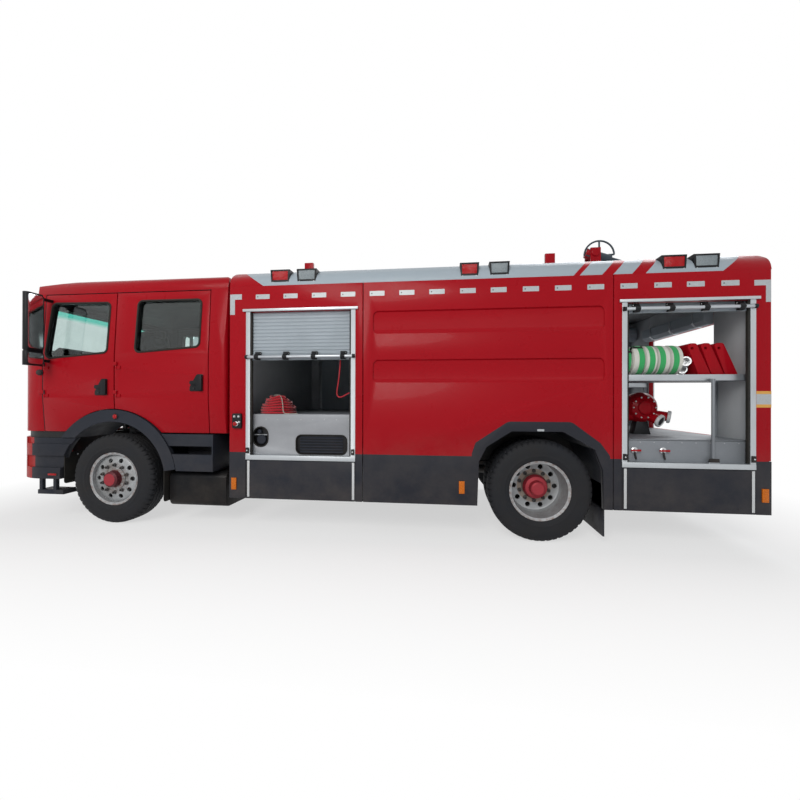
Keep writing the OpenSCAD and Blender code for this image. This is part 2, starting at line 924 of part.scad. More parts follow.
module cab_roof() {
    color("#b3161b")
        difference() {
            intersection() {
                cab_envelope(0, cab_low);
                box(cab_rear - 1, cab_front + 1, -cab_hw - 1, cab_hw + 1, header_z, cab_top + 1);
            }
            cab_envelope(cab_wall + 40, cab_low);
        }
}

module windscreen() {
    color("#7f929b", 0.5)
        intersection() {
            cab_skin(18, 18 + glass_t);
            screen_space(0);
        }
}

module grille() {
    x0 = cab_front - grille_d;
    slats = 6;
    pitch = (grille_z1 - grille_z0 - 40) / slats;
    color("#232427") {
        box(x0, x0 + 14, -grille_half, grille_half, grille_z0, grille_z1);
        for (i = [0 : slats])
            box(x0 + 13, cab_front, -grille_half, grille_half, grille_z0 + i * pitch, grille_z0 + i * pitch + 40);
        for (y = [-grille_half, grille_half - 40])
            box(x0 + 13, cab_front, y, y + 40, grille_z0, grille_z1);
    }
}

module dashboard() {
    color("#3a3b3e") {
        across(rounded([
            [door_x1 + 20, belt_z - 330, 40], [cab_front - cab_wall - seat_gap, belt_z - 420, 0],
            [cab_front - cab_wall - seat_gap, belt_z - 24, 0], [door_x1 + 60, belt_z - 44, 60]
        ]), -dash_half, dash_half);
        translate([door_x1 - 90, wheel_y, belt_z - 20])
            rotate([0, -38, 0]) {
                rotate_extrude($fn = 48)
                    translate([210, 0])
                        circle(r = 16, $fn = 16);
                translate([0, 0, -30])
                    cylinder(h = 36, r = 60);
                for (a = [0, 120, 240])
                    rotate([0, 0, a])
                        translate([40, -14, -20])
                            cube([168, 28, 16]);
                translate([0, 0, -240])
                    cylinder(h = 230, r = 32);
            }
    }
}

// a cushion on its box and a back rest, facing the front
module seat(x, y, w) {
    low = cushion_z - 130;
    box(x, x + 480, y - w / 2 + 40, y + w / 2 - 40, floor_z + floor_t, low);
    across(rounded([
        [x - 10, low, 20], [x + 500, low, 40], [x + 500, cushion_z, 60], [x + 20, cushion_z - 20, 40],
        [x - 90, cushion_z + 590, 50], [x - 190, cushion_z + 590, 50], [x - 100, low + 10, 20]
    ]), y - w / 2, y + w / 2);
}

module seats() {
    color("#4a4c50") {
        both_sides()
            seat(door_x2 + 110, wheel_y, 500);
        seat(cab_rear + 275, 0, 2 * (cab_hw - cab_wall - 130));
    }
}

// door skin between x0 and x1, with its window and the wheel arch cut out
module door_panel(x0, x1, window) {
    difference() {
        intersection() {
            cab_skin(0, cab_wall);
            box(x1, x0, 0, cab_hw + 1, cab_low - 1, door_top);
        }
        across(window, cab_hw - 300, cab_hw + 1);
        wheel_room(arch_out + panel_gap, cab_hw - 300, cab_hw + 2);
        // inner frame set back from the wheel arch, so that the door swings clear of it
        wheel_room(arch_out + arch_swing, cab_hw - 300, cab_hw - tuck - 20);
    }
}

// barrels of a door's hinges
module door_hinges(x) {
    for (z = hinge_z)
        difference() {
            union() {
                rod_z(x - hinge_back, hinge_y, z - leaf_h, z - 5, hinge_r);
                box(x - hinge_back - 50, x - hinge_back, cab_hw - 0.5, hinge_y, z - leaf_h, z - 5);
            }
            rod_z(x - hinge_back, hinge_y, z - leaf_h - 1, z, hinge_pin_r + pin_gap);
        }
}

// handle bow on the skin
module door_handle(x, z) {
    across(round_rect(x - 80, x + 80, z - 95, z + 95, 30), cab_hw - 0.5, cab_hw + 8);
    across(round_rect(x - 66, x + 66, z - 22, z + 22, 20), cab_hw + 7, cab_hw + 34);
}

module front_door(side) {
    color("#b3161b")
        on_side(side) {
            door_panel(door_x1, door_x2, front_window());
            door_hinges(door_x1);
            door_handle(door_x2 + 148, 1557);
        }
}

module rear_door(side) {
    color("#b3161b")
        on_side(side) {
            door_panel(door_x3, door_x4, rear_window());
            door_hinges(door_x3);
            door_handle(door_x4 + 130, 1602);
        }
}

module door_glass(side, window) {
    color("#7f929b", 0.5)
        on_side(side)
            intersection() {
                cab_skin(28, 28 + glass_t);
                across(window, cab_hw - 300, cab_hw);
            }
}

module mirror_arm(side) {
    x = door_x1 - 70;
    y0 = cab_hw + 100;
    y1 = y0 + 190;
    color("#232427")
        on_side(side)
            difference() {
                union() {
                    upright(round_rect(x - 60, x + 10, y0, y1, 30), belt_z + 80, belt_z + 710);
                    upright(round_rect(x - 60, x + 10, y0, y1, 30), belt_z - 90, belt_z + 65);
                    for (z = [belt_z + 660, belt_z - 40])
                        box(x - 20, x + 14, cab_hw - 120, y0 + 20, z, z + 30);
                    rod_z(x - 5, y0 + 40, belt_z - 80, belt_z + 700, 16);
                }
                cab_envelope(0, cab_low - 100);
            }
}

// Body

// opening for the rear wheels, grown by g, down to z0
function rear_arch(g, z0) =
    [for (p = [
        [620 + g, z0], [605 + g, 800], [530 + 0.9 * g, 950 + 0.5 * g], [285 + 0.4 * g, 1108 + g],
        [-205 - 0.4 * g, 1108 + g], [-500 - 0.9 * g, 940 + 0.5 * g], [-575 - g, 740], [-585 - g, z0]
    ]) [axle_r + p[0], p[1]]];

// edge of the grey flare round the rear wheels
function rear_flare(z0) =
    rounded([for (p = [
        [676, z0, 0], [676, 880, 60], [640, 990, 40], [320, 1205, 90],
        [-285, 1205, 90], [-550, 1005, 40], [-640, 880, 60], [-640, z0, 0]
    ]) [axle_r + p[0], p[1], p[2]]], 4);

module tank() {
    color("#a9abae")
        box(m2_rear + 50, m2_front - 50, -inner_y, inner_y, tank_low, roof_z);
}

// shallow pressed field with a bevel along its lower edge
module pressed_field(x0, x1, z0, z1) {
    depth = 18;
    intersection() {
        along([
            [body_hw + 1, z0], [body_hw + 1, z1], [body_hw - depth, z1 - 14], [body_hw - depth, z0 + 46]
        ], x0, x1);
        across(round_rect(x0, x1, z0, z1, 60), body_hw - depth - 1, body_hw + 2);
    }
}

module locker_opening(edges) {
    box(edges[1], edges[0], inner_y - 1, body_hw + 1, skirt_line - 1, locker_top);
}

module side_panels() {
    color("#b3161b")
        both_sides() {
            difference() {
                box(m1_rear, body_front, inner_y, body_hw, skirt_line, side_top);
                locker_opening(front_locker);
            }
            difference() {
                box(m2_rear, m2_front, inner_y, body_hw, skirt_line, side_top);
                across(rear_flare(skirt_line - 10), inner_y - 1, body_hw + 1);
                for (z = field_z)
                    pressed_field(m2_rear + 78, m2_front - 100, z, z + field_h);
            }
            difference() {
                upright(rounded([
                    [x_rear, inner_y, 0], [m3_front, inner_y, 0], [m3_front, body_hw, 0], [x_rear, body_hw, 45]
                ]), skirt_line, side_top);
                locker_opening(rear_locker);
            }
        }
}

module end_walls() {
    rear_in = rear_wall_x + wall;
    color("#b3161b") {
        box(body_front - wall, body_front, -inner_y, inner_y, deck_top, roof_z);
        // jambs, lintel and sill of the rear doorway
        both_sides() {
            box(rear_wall_x, rear_in, door_half, inner_y, skirt_line, roof_z);
            box(rear_wall_x, rear_in, rail_out + 5, door_half - seat_gap, skirt_line, rail_top);
        }
        for (z = [[rail_top + 2, deck_top], [doorway_top, roof_z]])
            box(rear_wall_x, rear_in, seat_gap - door_half, door_half - seat_gap, z[0], z[1]);
        box(m3_front - 40, m3_front, -inner_y, inner_y, deck_top, roof_z);
        box(m1_rear, m1_rear + 40, -inner_y, inner_y, deck_top, roof_z);
    }
}

module front_service_panel() {
    difference() {
        across(round_rect(front_locker[1], front_locker[0], locker_low, shelf_z, 1), inner_y - 12, inner_y);
        across(round_rect(axle_f - 1856, axle_f - 1690, 909, 1121, 80), inner_y - 13, inner_y + 1);
        across(round_rect(m1_rear + 178, m1_rear + 736, 835, 1041, 60), inner_y - 13, inner_y + 1);
    }
}

module decks() {
    rear_in = rear_wall_x + wall;
    color("#c4c7ca") {
        box(m1_rear + 40, body_front - wall, -inner_y, inner_y, shelf_z, shelf_z + 30);
        box(m1_rear, body_front, -inner_y + 20, inner_y - 20, deck_top - 10, deck_top);
        box(rear_in, m3_front, -inner_y + 20, inner_y - 20, deck_top - 10, deck_top);
        both_sides() {
            front_service_panel();
            across(round_rect(rear_locker[1], rear_locker[0], locker_low, deck_top - 11, 1), inner_y - 12, inner_y);
            box(rear_in, m3_front - 40, shelf_y, inner_y - 10, rear_shelf[0], rear_shelf[1]);
            box(rear_in + 5, rear_in + 45, shelf_y, shelf_y + 40, deck_top - 1, rear_shelf[0] + 1);
            for (e = [front_locker, rear_locker])
                along([
                    [shelf_y, skirt_z], [inner_y - 30, skirt_z], [inner_y - 30, skirt_z + 12], [shelf_y + 12, skirt_z + 12],
                    [shelf_y + 12, rail_top], [shelf_y, rail_top]
                ], e[1], e[0]);
        }
    }
}

// strip of skirt between x0 and x1 with the bores of the step panel's pins
module skirt_strip(x0, x1) {
    difference() {
        box(x0, x1, inner_y, body_hw, skirt_z, skirt_line);
        rod_x(x0 - 1, x1 + 1, step_y, step_z, step_pin + pin_gap);
    }
}

module skirts() {
    color("#4a4d50") {
        both_sides() {
            skirt_strip(front_locker[0], body_front);
            skirt_strip(m1_rear, front_locker[1]);
            difference() {
                union() {
                    box(m2_rear, m2_front, inner_y, body_hw, skirt_z, skirt_line);
                    across(rear_flare(skirt_line - 1), inner_y, body_hw);
                }
                across(rear_arch(0, skirt_z - 10), inner_y - 1, body_hw + 1);
            }
            skirt_strip(rear_locker[0], m3_front);
            skirt_strip(x_rear, rear_locker[1]);
        }
        difference() {
            box(x_rear, x_rear + 55, -inner_y, inner_y, skirt_z, skirt_line);
            box(x_rear - 1, x_rear + 56, -80, 80, skirt_z - 1, tow_z + 80);
            both_sides()
                rear_lamp_space(seat_gap);
        }
    }
}

module rear_lamp_space(g) {
    box(x_rear - 1, x_rear + 30 + g, inner_y - 420 - g, inner_y - 60 + g, 620 - g, 760 + g);
}

module step_panel(edges, side) {
    color("#4a4d50")
        on_side(side) {
            box(edges[1] + 6, edges[0] - 6, body_hw - 48, body_hw - 2, skirt_z, step_top);
            rod_x(edges[1] - 25, edges[0] + 25, step_y, step_z, step_pin);
        }
}

module roof_deck() {
    color("#c4c7ca") {
        box(rear_wall_x, body_front, -inner_y, inner_y, roof_z, roof_z + roof_t);
        difference() {
            union() {
                rod_z(monitor_x, 0, roof_z + roof_t - 1, monitor_z, 105);
                rod_z(monitor_x, 0, monitor_z - 24, monitor_z, 140);
            }
            rod_z(monitor_x, 0, monitor_z - 60, monitor_z + 1, spigot_r + pin_gap);
        }
        // stepped end brackets of the load on the roof, the higher step at the outer end
        both_sides()
            for (e = [[body_front - 710, -1], [m2_rear + 450, 1]])
                across([
                    [e[0], roof_z + roof_t - 1], [e[0] + 200 * e[1], roof_z + roof_t - 1],
                    [e[0] + 200 * e[1], side_top + 218], [e[0] + 100 * e[1], side_top + 218],
                    [e[0] + 100 * e[1], side_top + 348], [e[0], side_top + 348]
                ], inner_y - 310, inner_y - 270);
    }
}

// slanted roof edge in Y and Z
function coaming_section() =
    let (top = side_top + coaming_h, y1 = body_hw - coaming_w)
    rounded([
        [y1 - 50, side_top, 0], [body_hw, side_top, 0], [body_hw - 10, side_top + coaming_h / 2, coaming_w],
        [y1 + 10, top, coaming_w], [y1 - 50, top, 10]
    ], 7);

module coaming() {
    y1 = body_hw - coaming_w - 50;
    top = side_top + coaming_h - 30;
    color("#e6e7e8") {
        both_sides()
            intersection() {
                along(coaming_section(), x_rear, body_front);
                across(rounded([
                    [x_rear, side_top - 1, 0], [body_front, side_top - 1, 0], [body_front, side_top + coaming_h + 1, 45],
                    [x_rear + 10, side_top + coaming_h + 1, 90]
                ]), 0, body_hw + 1);
            }
        box(body_front - 70, body_front - 10, -y1 - 1, y1 + 1, side_top, top);
        box(x_rear + 20, x_rear + 60, -y1 - 1, y1 + 1, side_top, top);
    }
}

module locker_frame(edges) {
    for (x = [edges[0] - post_w, edges[1]])
        box(x, x + post_w, inner_y, body_hw + 3, locker_low, locker_top);
    box(edges[1], edges[0], inner_y - 30, body_hw + 6, locker_low - sill_h, locker_low);
    box(edges[1] - 28, edges[0] + 28, body_hw, body_hw + 22, locker_top, locker_top + 27);
}

module locker_frames() {
    color("#c9ccd0")
        both_sides() {
            locker_frame(front_locker);
            locker_frame(rear_locker);
        }
}

// slatted curtain in Y and Z from z0 up to z1
function slat_outline(z0, z1) =
    let (n = ceil((z1 - z0) / slat_h), h = (z1 - z0) / n, y = curtain_y)
    concat(
        [[y, z0]],
        [for (i = [0 : n - 1]) each [
            [y + 8, z0 + i * h], [y + 14, z0 + (i + 0.25) * h], [y + 14, z0 + (i + 0.75) * h], [y + 8, z0 + (i + 1) * h]
        ]],
        [[y, z1]]
    );

module shutter(edges, bar_z) {
    x0 = edges[1] + post_w;
    x1 = edges[0] - post_w;
    roll_r = 105;
    if (bar_z < locker_top - 120)
        along(slat_outline(bar_z, locker_top), x0, x1);
    box(x0, x1, curtain_y - 4, curtain_y + 24, bar_z - 62, bar_z + 1);
    rod_x(x0 - 30, x1 + 30, roll_y, locker_top + 60, roll_r);
    for (x = [x0 - 36, x1 + 28])
        box(x, x + 8, roll_y - 100, inner_y, locker_top - 20, locker_top + 140);
}

module shutters() {
    color("#d2d4d6") {
        shutter(front_locker, 1902);
        shutter(rear_locker, 2322);
        on_side(-1) {
            shutter(front_locker, locker_low + 62);
            shutter(rear_locker, 2322);
        }
    }
}

// Equipment

module pump() {
    x = m3_front - 260;
    color("#a3181c") {
        box(x - 150, x + 160, -260, 260, deck_top, deck_top + 90);
        rod_y(x, deck_top + 260, -240, 240, 190);
        for (y = outlet_y) {
            rod_x(x - 250 - outlet_len, x - 249, y, deck_top + 200, outlet_r);
            rod_x(x - 250, x - 150, y, deck_top + 200, outlet_r + 14);
        }
        rod_y(x - 170, deck_top + 200, -390, 390, outlet_r + 18);
        both_sides()
            rod_z(x, 420, deck_top, deck_top + 330, 70);
        rod_y(x, deck_top + 260, -430, 430, 45);
    }
}

module hose_rolls() {
    z = rear_shelf[1] + roll_d / 2 + seat_gap;
    color("#d9dad2") {
        for (i = [0 : rolls - 1])
            translate([m3_front - 105 - i * roll_pitch, 0, 0])
                difference() {
                    rod_x(-roll_w, 0, roll_y - 50, z, roll_d / 2);
                    rod_x(-roll_w - 1, 1, roll_y - 50, z, 35);
                }
        // flat coil of red hose on the front deck
        translate([body_front - 420, inner_y - 230, shelf_z + 30])
            difference() {
                cylinder(h = 190, r = 200);
                translate([0, 0, -1])
                    cylinder(h = 192, r = 70);
            }
    }
}

// three wedge ramps on the rear shelf
module ramps() {
    color("#a3181c")
        for (i = [0 : 2])
            translate([m3_front - 942 - i * ramp_pitch, 0, rear_shelf[1]])
                difference() {
                    across(rounded([
                        [0, 0, 0], [ramp_w, 0, 0], [ramp_w + ramp_lean, ramp_h, 30], [ramp_w + ramp_lean - 90, ramp_h, 30]
                    ]), inner_y - 290, inner_y - 70);
                    rod_y(ramp_w + ramp_lean - 52, ramp_h - 50, inner_y - 291, inner_y - 69, 13);
                }
}

module ladder() {
    y0 = 60 - inner_y;
    y1 = y0 + 370;
    x = x_rear + 6;
    color("#c9ccd0") {
        for (y = [y0, y1 - 30])
            box(x, x + 30, y, y + 30, skirt_line, side_top - 10);
        for (i = [0 : 5])
            rod_y(x + 15, 980 + i * 280, y0 + 1, y1 - 1, 13);
        for (y = [y0, y1 - 30], z = [1100, 1800, 2480])
            box(x + 29, rear_wall_x, y + 2, y + 28, z, z + 30);
    }
}

module monitor_turret() {
    yoke = tilt_axis_z - 120;
    color("#a3181c") {
        rod_z(monitor_x, 0, monitor_z + 5, monitor_z + 35, 125);
        rod_z(monitor_x, 0, monitor_z + 34, yoke - 39, 70);
        box(monitor_x - 60, monitor_x + 60, -110, 110, yoke - 40, yoke);
        for (y = [-110, 85])
            difference() {
                box(monitor_x - 60, monitor_x + 60, y, y + 25, yoke - 1, tilt_axis_z + 60);
                rod_y(monitor_x, tilt_axis_z, y - 1, y + 26, 30 + pin_gap);
            }
        rod_z(monitor_x, 0, monitor_z - 40, monitor_z + 6, spigot_r);
    }
}

// stored with the muzzle to the rear and drooping
module monitor_barrel() {
    color("#2b2d30")
        translate([monitor_x, 0, tilt_axis_z]) {
            rod_y(0, 0, -112, 112, 30);
            rotate([0, -barrel_droop, 0]) {
                rod_x(-220, 90, 0, 0, 62);
                rod_x(-480, -219, 0, 0, 42);
                rod_x(-500, -420, 0, 0, 52);
            }
            // guard bow over the barrel and its stay
            translate([-guard_r + 100, 0, 0]) {
                rotate([90, 0, 0])
                    rotate_extrude(angle = 180, $fn = 48)
                        translate([guard_r, 0])
                            circle(r = 11, $fn = 16);
                rod_z(0, 0, 40, guard_r, 11);
                rod_x(-guard_r, guard_r, 0, 0, 11);
            }
        }
}

// [front end, rear end] of each beacon on the roof edge
red_beacons = [[body_front - 463, body_front - 658], [axle_r + 788, axle_r + 615], [m3_front - 440, m3_front - 646]];
clear_beacons = [[body_front - 753, body_front - 951], [axle_r + 497, axle_r + 316], [m3_front - 723, m3_front - 933]];

module beacon(e) {
    difference() {
        along(round_rect(body_hw - 130, body_hw - 8, side_top + 30, side_top + coaming_h - 20, 14), e[1], e[0]);
        coaming_solid();
    }
}

module coaming_solid() {
    along(coaming_section(), x_rear, body_front);
}

// [front end, lower edge] of the side markers
markers = [[body_front - 27, 453], [axle_r + 802, 478], [x_rear + 84, 478]];

module lamps_clear() {
    color("#e8eef2")
        both_sides() {
            for (e = clear_beacons)
                beacon(e);
            lamp_space(0);
        }
}

module lamps_colour() {
    color("#d23a1e")
        both_sides() {
            for (e = red_beacons)
                beacon(e);
            for (m = markers)
                box(m[0] - 55, m[0], body_hw, body_hw + 12, m[1], m[1] + 125);
            intersection() {
                rear_lamp_space(0);
                box(x_rear, x_rear + 100, 0, body_hw, skirt_z, skirt_line);
            }
        }
}

front_tyre(1);  // tyre_front_left
front_tyre(-1);  // tyre_front_right
rear_tyres(1);  // tyres_rear_left
rear_tyres(-1);  // tyres_rear_right
front_wheel_rim(1);  // rim_front_left
front_wheel_rim(-1);  // rim_front_right
rear_wheel_rims(1);  // rims_rear_left
rear_wheel_rims(-1);  // rims_rear_right
knuckle(1);  // knuckle_left
knuckle(-1);  // knuckle_right
tie_rod();
chassis_frame();  // frame
engine();
front_axle();
rear_axle();
leaf_springs();
propshaft();
side_tanks();
front_bumper();
cab_steps();
mudguards();
cab_floor();
cab_back();
cab_front();
cab_roof();
grille();
windscreen();
dashboard();
seats();
front_door(1);  // door_front_left
front_door(-1);  // door_front_right
rear_door(1);  // door_rear_left
rear_door(-1);  // door_rear_right
door_glass(1, front_window());  // glass_front_left
door_glass(-1, front_window());  // glass_front_right
door_glass(1, rear_window());  // glass_rear_left
door_glass(-1, rear_window());  // glass_rear_right
mirror_arm(1);  // mirror_left
mirror_arm(-1);  // mirror_right
tank();
side_panels();
end_walls();
decks();
skirts();
roof_deck();
coaming();
locker_frames();
shutters();
step_panel(front_locker, 1);  // step_panel_front_left
step_panel(front_locker, -1);  // step_panel_front_right
step_panel(rear_locker, 1);  // step_panel_rear_left
step_panel(rear_locker, -1);  // step_panel_rear_right
monitor_turret();
monitor_barrel();
pump();
hose_rolls();
ramps();
ladder();
lamps_clear();
lamps_colour();
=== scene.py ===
"""Looks of a fire engine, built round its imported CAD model. Metres, +X front, +Y left, +Z up."""

import math

import bmesh
import bpy
from mathutils import Matrix, Vector


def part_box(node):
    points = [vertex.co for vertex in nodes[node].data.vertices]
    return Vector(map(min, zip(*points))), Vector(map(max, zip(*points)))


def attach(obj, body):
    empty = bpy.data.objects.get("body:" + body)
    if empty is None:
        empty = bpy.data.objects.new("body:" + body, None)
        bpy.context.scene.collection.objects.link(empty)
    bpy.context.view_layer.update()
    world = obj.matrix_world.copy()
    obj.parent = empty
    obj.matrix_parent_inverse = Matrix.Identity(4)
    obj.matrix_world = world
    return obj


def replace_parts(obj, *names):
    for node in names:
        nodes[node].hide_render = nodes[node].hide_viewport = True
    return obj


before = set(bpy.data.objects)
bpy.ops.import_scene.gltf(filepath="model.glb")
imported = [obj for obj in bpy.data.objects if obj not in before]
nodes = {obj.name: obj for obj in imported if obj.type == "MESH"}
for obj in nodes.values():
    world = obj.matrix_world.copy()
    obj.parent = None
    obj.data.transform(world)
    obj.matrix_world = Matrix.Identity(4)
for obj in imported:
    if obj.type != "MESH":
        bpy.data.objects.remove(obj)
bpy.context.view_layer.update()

scene = bpy.context.scene
HANDS = {1: "left", -1: "right"}
LEFT, UP, FRONT, BACK = (0, 1, 0), (0, 0, 1), (1, 0, 0), (-1, 0, 0)
TURN = 2 * math.pi
AXLE_X, AXLE_Z = {"front": 2.685, "rear": -2.015}, 0.51

# camera

CAMERA_AT = Vector((-1.06921, 5.20262, 1.40941))
CAMERA_YAW, CAMERA_PITCH, CAMERA_ROLL = (math.radians(a) for a in (6.57, 0.10, 0.14))
FOCAL_PIXELS, IMAGE_PIXELS = 388.57, 800
SENSOR = 36.0


def make_camera():
    data = bpy.data.cameras.new("camera")
    data.sensor_width = SENSOR
    data.lens = SENSOR * FOCAL_PIXELS / IMAGE_PIXELS
    data.clip_start, data.clip_end = 0.05, 500.0
    cam = bpy.data.objects.new("camera", data)
    scene.collection.objects.link(cam)
    yaw, pitch, roll = CAMERA_YAW, CAMERA_PITCH, CAMERA_ROLL
    ahead = Vector((math.sin(yaw) * math.cos(pitch), -math.cos(yaw) * math.cos(pitch), math.sin(pitch)))
    level = Vector((-math.cos(yaw), -math.sin(yaw), 0.0))
    up = level.cross(ahead)
    right = level * math.cos(roll) + up * math.sin(roll)
    up = up * math.cos(roll) - level * math.sin(roll)
    turn = Matrix((right, up, -ahead)).transposed()
    cam.matrix_world = Matrix.Translation(CAMERA_AT) @ turn.to_4x4()
    scene.camera = cam


make_camera()

# materials


def linear(hex_colour, gain=1.0):
    """A written colour as the linear values that a shader takes."""
    values = [int(hex_colour[i : i + 2], 16) / 255 for i in (1, 3, 5)]
    light = [v / 12.92 if v <= 0.04045 else ((v + 0.055) / 1.055) ** 2.4 for v in values]
    return tuple(min(1.0, gain * v) for v in light) + (1.0,)


class Nodes:
    """Short names for making the nodes of a tree."""

    def __init__(self, tree):
        self.tree = tree

    def plug(self, socket, value):
        if isinstance(value, bpy.types.NodeSocket):
            self.tree.links.new(value, socket)
        else:
            socket.default_value = value

    def made(self, kind, inputs=None, **settings):
        """Outputs of a new node with some of its inputs plugged."""
        node = self.tree.nodes.new(kind)
        for key, value in settings.items():
            setattr(node, key, value)
        for key, value in (inputs or {}).items():
            self.plug(node.inputs[key], value)
        return node.outputs

    def math(self, operation, a, b=0.0):
        return self.made("ShaderNodeMath", {0: a, 1: b}, operation=operation)[0]

    def seen(self):
        """1 for rays of the camera, also by way of a mirror or through glass."""
        rays = self.made("ShaderNodeLightPath")
        bent = self.math("MAXIMUM", rays["Is Glossy Ray"], rays["Is Transmission Ray"])
        return self.math("MAXIMUM", rays["Is Camera Ray"], bent)

    def blend(self, share, a, b):
        return self.made("ShaderNodeMixShader", {0: share, 1: a, 2: b})[0]


class Shader(Nodes):
    """A Principled material with short names for the nodes that feed it."""

    def __init__(self, name, **sockets):
        self.mat = bpy.data.materials.new(name)
        self.mat.use_nodes = True
        super().__init__(self.mat.node_tree)
        self.bsdf = next(n for n in self.tree.nodes if n.type == "BSDF_PRINCIPLED")
        self.where = self.made("ShaderNodeTexCoord")["Object"]
        for socket, value in sockets.items():
            self.bsdf.inputs[socket.replace("_", " ")].default_value = value

    def feed(self, socket, value):
        self.plug(self.bsdf.inputs[socket], value)

    def rough(self, base, share, gain):
        """Roughness that is higher by gain where share is 1."""
        self.feed("Roughness", self.math("ADD", base, self.math("MULTIPLY", share, gain)))

    def axes(self):
        return self.made("ShaderNodeSeparateXYZ", {0: self.where})

    def stretch(self, scale):
        return self.made("ShaderNodeMapping", {"Vector": self.where, "Scale": scale})[0]

    def noise(self, scale, detail=3.0, where=None, rough=0.55):
        inputs = {"Vector": where or self.where, "Scale": scale, "Detail": detail, "Roughness": rough}
        return self.made("ShaderNodeTexNoise", inputs)[0]

    def cells(self, scale):
        return self.made("ShaderNodeTexVoronoi", {"Vector": self.where, "Scale": scale})[0]

    def wave(self, scale, axis):
        inputs = {"Vector": self.where, "Scale": scale}
        return self.made("ShaderNodeTexWave", inputs, bands_direction=axis)["Fac"]

    def span(self, value, a, b, low=0.0, high=1.0):
        """value between a and b, as low to high."""
        return self.made("ShaderNodeMapRange", dict(enumerate((value, a, b, low, high))))[0]

    def mix(self, share, a, b):
        return self.made("ShaderNodeMix", {0: share, 6: a, 7: b}, data_type="RGBA")[2]

    def tone(self, share, colour, low, high):
        """A written colour, low to high times as bright."""
        return self.mix(share, linear(colour, low), linear(colour, high))

    def bump(self, height, distance, strength, under=None):
        inputs = {"Strength": strength, "Distance": distance, "Height": height}
        if under is not None:
            inputs["Normal"] = under
        return self.made("ShaderNodeBump", inputs)[0]

    def inside(self, value, low, high):
        """1 where value lies between low and high."""
        above = self.math("GREATER_THAN", value, low)
        return self.math("MULTIPLY", above, self.math("LESS_THAN", value, high))

    def dust(self, colour, amount, high=1.15):
        """Road dust on colour, thick near the ground and gone at the height high; and its share."""
        low = self.span(self.axes()[2], 0.25, high, amount, 0.0)
        patch = self.span(self.noise(3.1, 5.0, rough=0.65), 0.35, 0.75)
        share = self.math("MULTIPLY", low, patch)
        return self.mix(share, colour, linear("#8d8175")), share


def paint(name, colour, coat=0.05, rough=0.3, dust=0.3):
    """Sprayed paint with a clear coat, faint waves in the sheet and road dust. colour may be a function."""
    s = Shader(name, Coat_Weight=coat, Coat_Roughness=0.07, Specular_IOR_Level=0.09)
    tone = s.tone(s.noise(0.9, 2.0), colour, 0.9, 1.08) if isinstance(colour, str) else colour(s)
    dusty, share = s.dust(tone, dust)
    s.feed("Base Color", dusty)
    s.rough(s.span(s.noise(6.0, 4.0), 0.3, 0.7, rough - 0.05, rough + 0.07), share, 0.45)
    peel = s.bump(s.noise(260.0, 1.0), 0.00025, 0.35)
    s.feed("Normal", s.bump(s.noise(1.7, 1.0), 0.006, 0.22, peel))
    return s.mat


def metal(name, colour, rough, grain=(1.0, 40.0, 40.0), metallic=0.85, stain=0.25):
    """Rolled or anodised sheet with a grain along one axis and dull stains."""
    s = Shader(name, Metallic=metallic)
    lines = s.noise(14.0, 4.0, s.stretch(grain))
    patch = s.span(s.noise(2.6, 5.0), 0.42, 0.72)
    tone = s.tone(lines, colour, 0.82, 1.08)
    s.feed("Base Color", s.mix(s.math("MULTIPLY", patch, stain), tone, linear(colour, 0.5)))
    s.rough(s.span(lines, 0.2, 0.8, rough - 0.07, rough + 0.07), patch, 0.12)
    s.feed("Normal", s.bump(lines, 0.0004, 0.3))
    return s.mat


def plastic(name, colour, rough=0.5, dust=0.4):
    """Moulded plastic with a fine leather grain."""
    s = Shader(name, Specular_IOR_Level=0.18)
    dusty, share = s.dust(s.tone(s.noise(2.2), colour, 0.85, 1.15), dust, 1.2)
    s.feed("Base Color", dusty)
    s.rough(s.span(s.noise(9.0), 0.3, 0.7, rough - 0.06, rough + 0.08), share, 0.3)
    s.feed("Normal", s.bump(s.cells(420.0), 0.0005, 0.35))
    return s.mat


def iron(name, colour, rough=0.6, rust=0.25):
    """Cast or rolled steel under thin black paint, rusty in patches."""
    s = Shader(name, Metallic=0.3, Specular_IOR_Level=0.3)
    patch = s.span(s.noise(7.0, 6.0, rough=0.7), 0.55, 0.78, 0.0, rust)
    tone = s.tone(s.noise(3.0), colour, 0.8, 1.2)
    dusty, share = s.dust(s.mix(patch, tone, linear("#6b4226")), 0.45)
    s.feed("Base Color", dusty)
    s.rough(s.span(patch, 0.0, 0.3, rough - 0.1, rough + 0.15), share, 0.2)
    s.feed("Normal", s.bump(s.noise(120.0, 4.0), 0.0008, 0.4))
    return s.mat


def lens(name, colour, transmission=0.0, ribs=330.0):
    """Ribbed lamp lens."""
    s = Shader(name, Transmission_Weight=transmission, IOR=1.49, Specular_IOR_Level=0.2)
    s.feed("Base Color", s.tone(s.cells(ribs / 3), colour, 1.15, 0.7))
    s.feed("Roughness", s.span(s.noise(30.0), 0.3, 0.7, 0.08, 0.2))
    s.feed("Normal", s.bump(s.wave(ribs / 6.28, "X"), 0.0012, 0.5))
    return s.mat


def tread_plate(name, colour):
    """Aluminium floor plate with raised bars, and dirt between them."""
    s = Shader(name, Metallic=0.7)
    bars = s.math("MULTIPLY", s.wave(9.0, "X"), s.wave(9.0, "Y"))
    grime = s.span(s.noise(4.0, 5.0), 0.35, 0.7)
    s.feed("Base Color", s.mix(s.math("MULTIPLY", grime, 0.5), linear(colour), linear("#6f6a63")))
    s.feed("Roughness", s.span(grime, 0.0, 1.0, 0.34, 0.6))
    s.feed("Normal", s.bump(s.span(bars, 0.35, 0.6), 0.004, 0.6))
    return s.mat


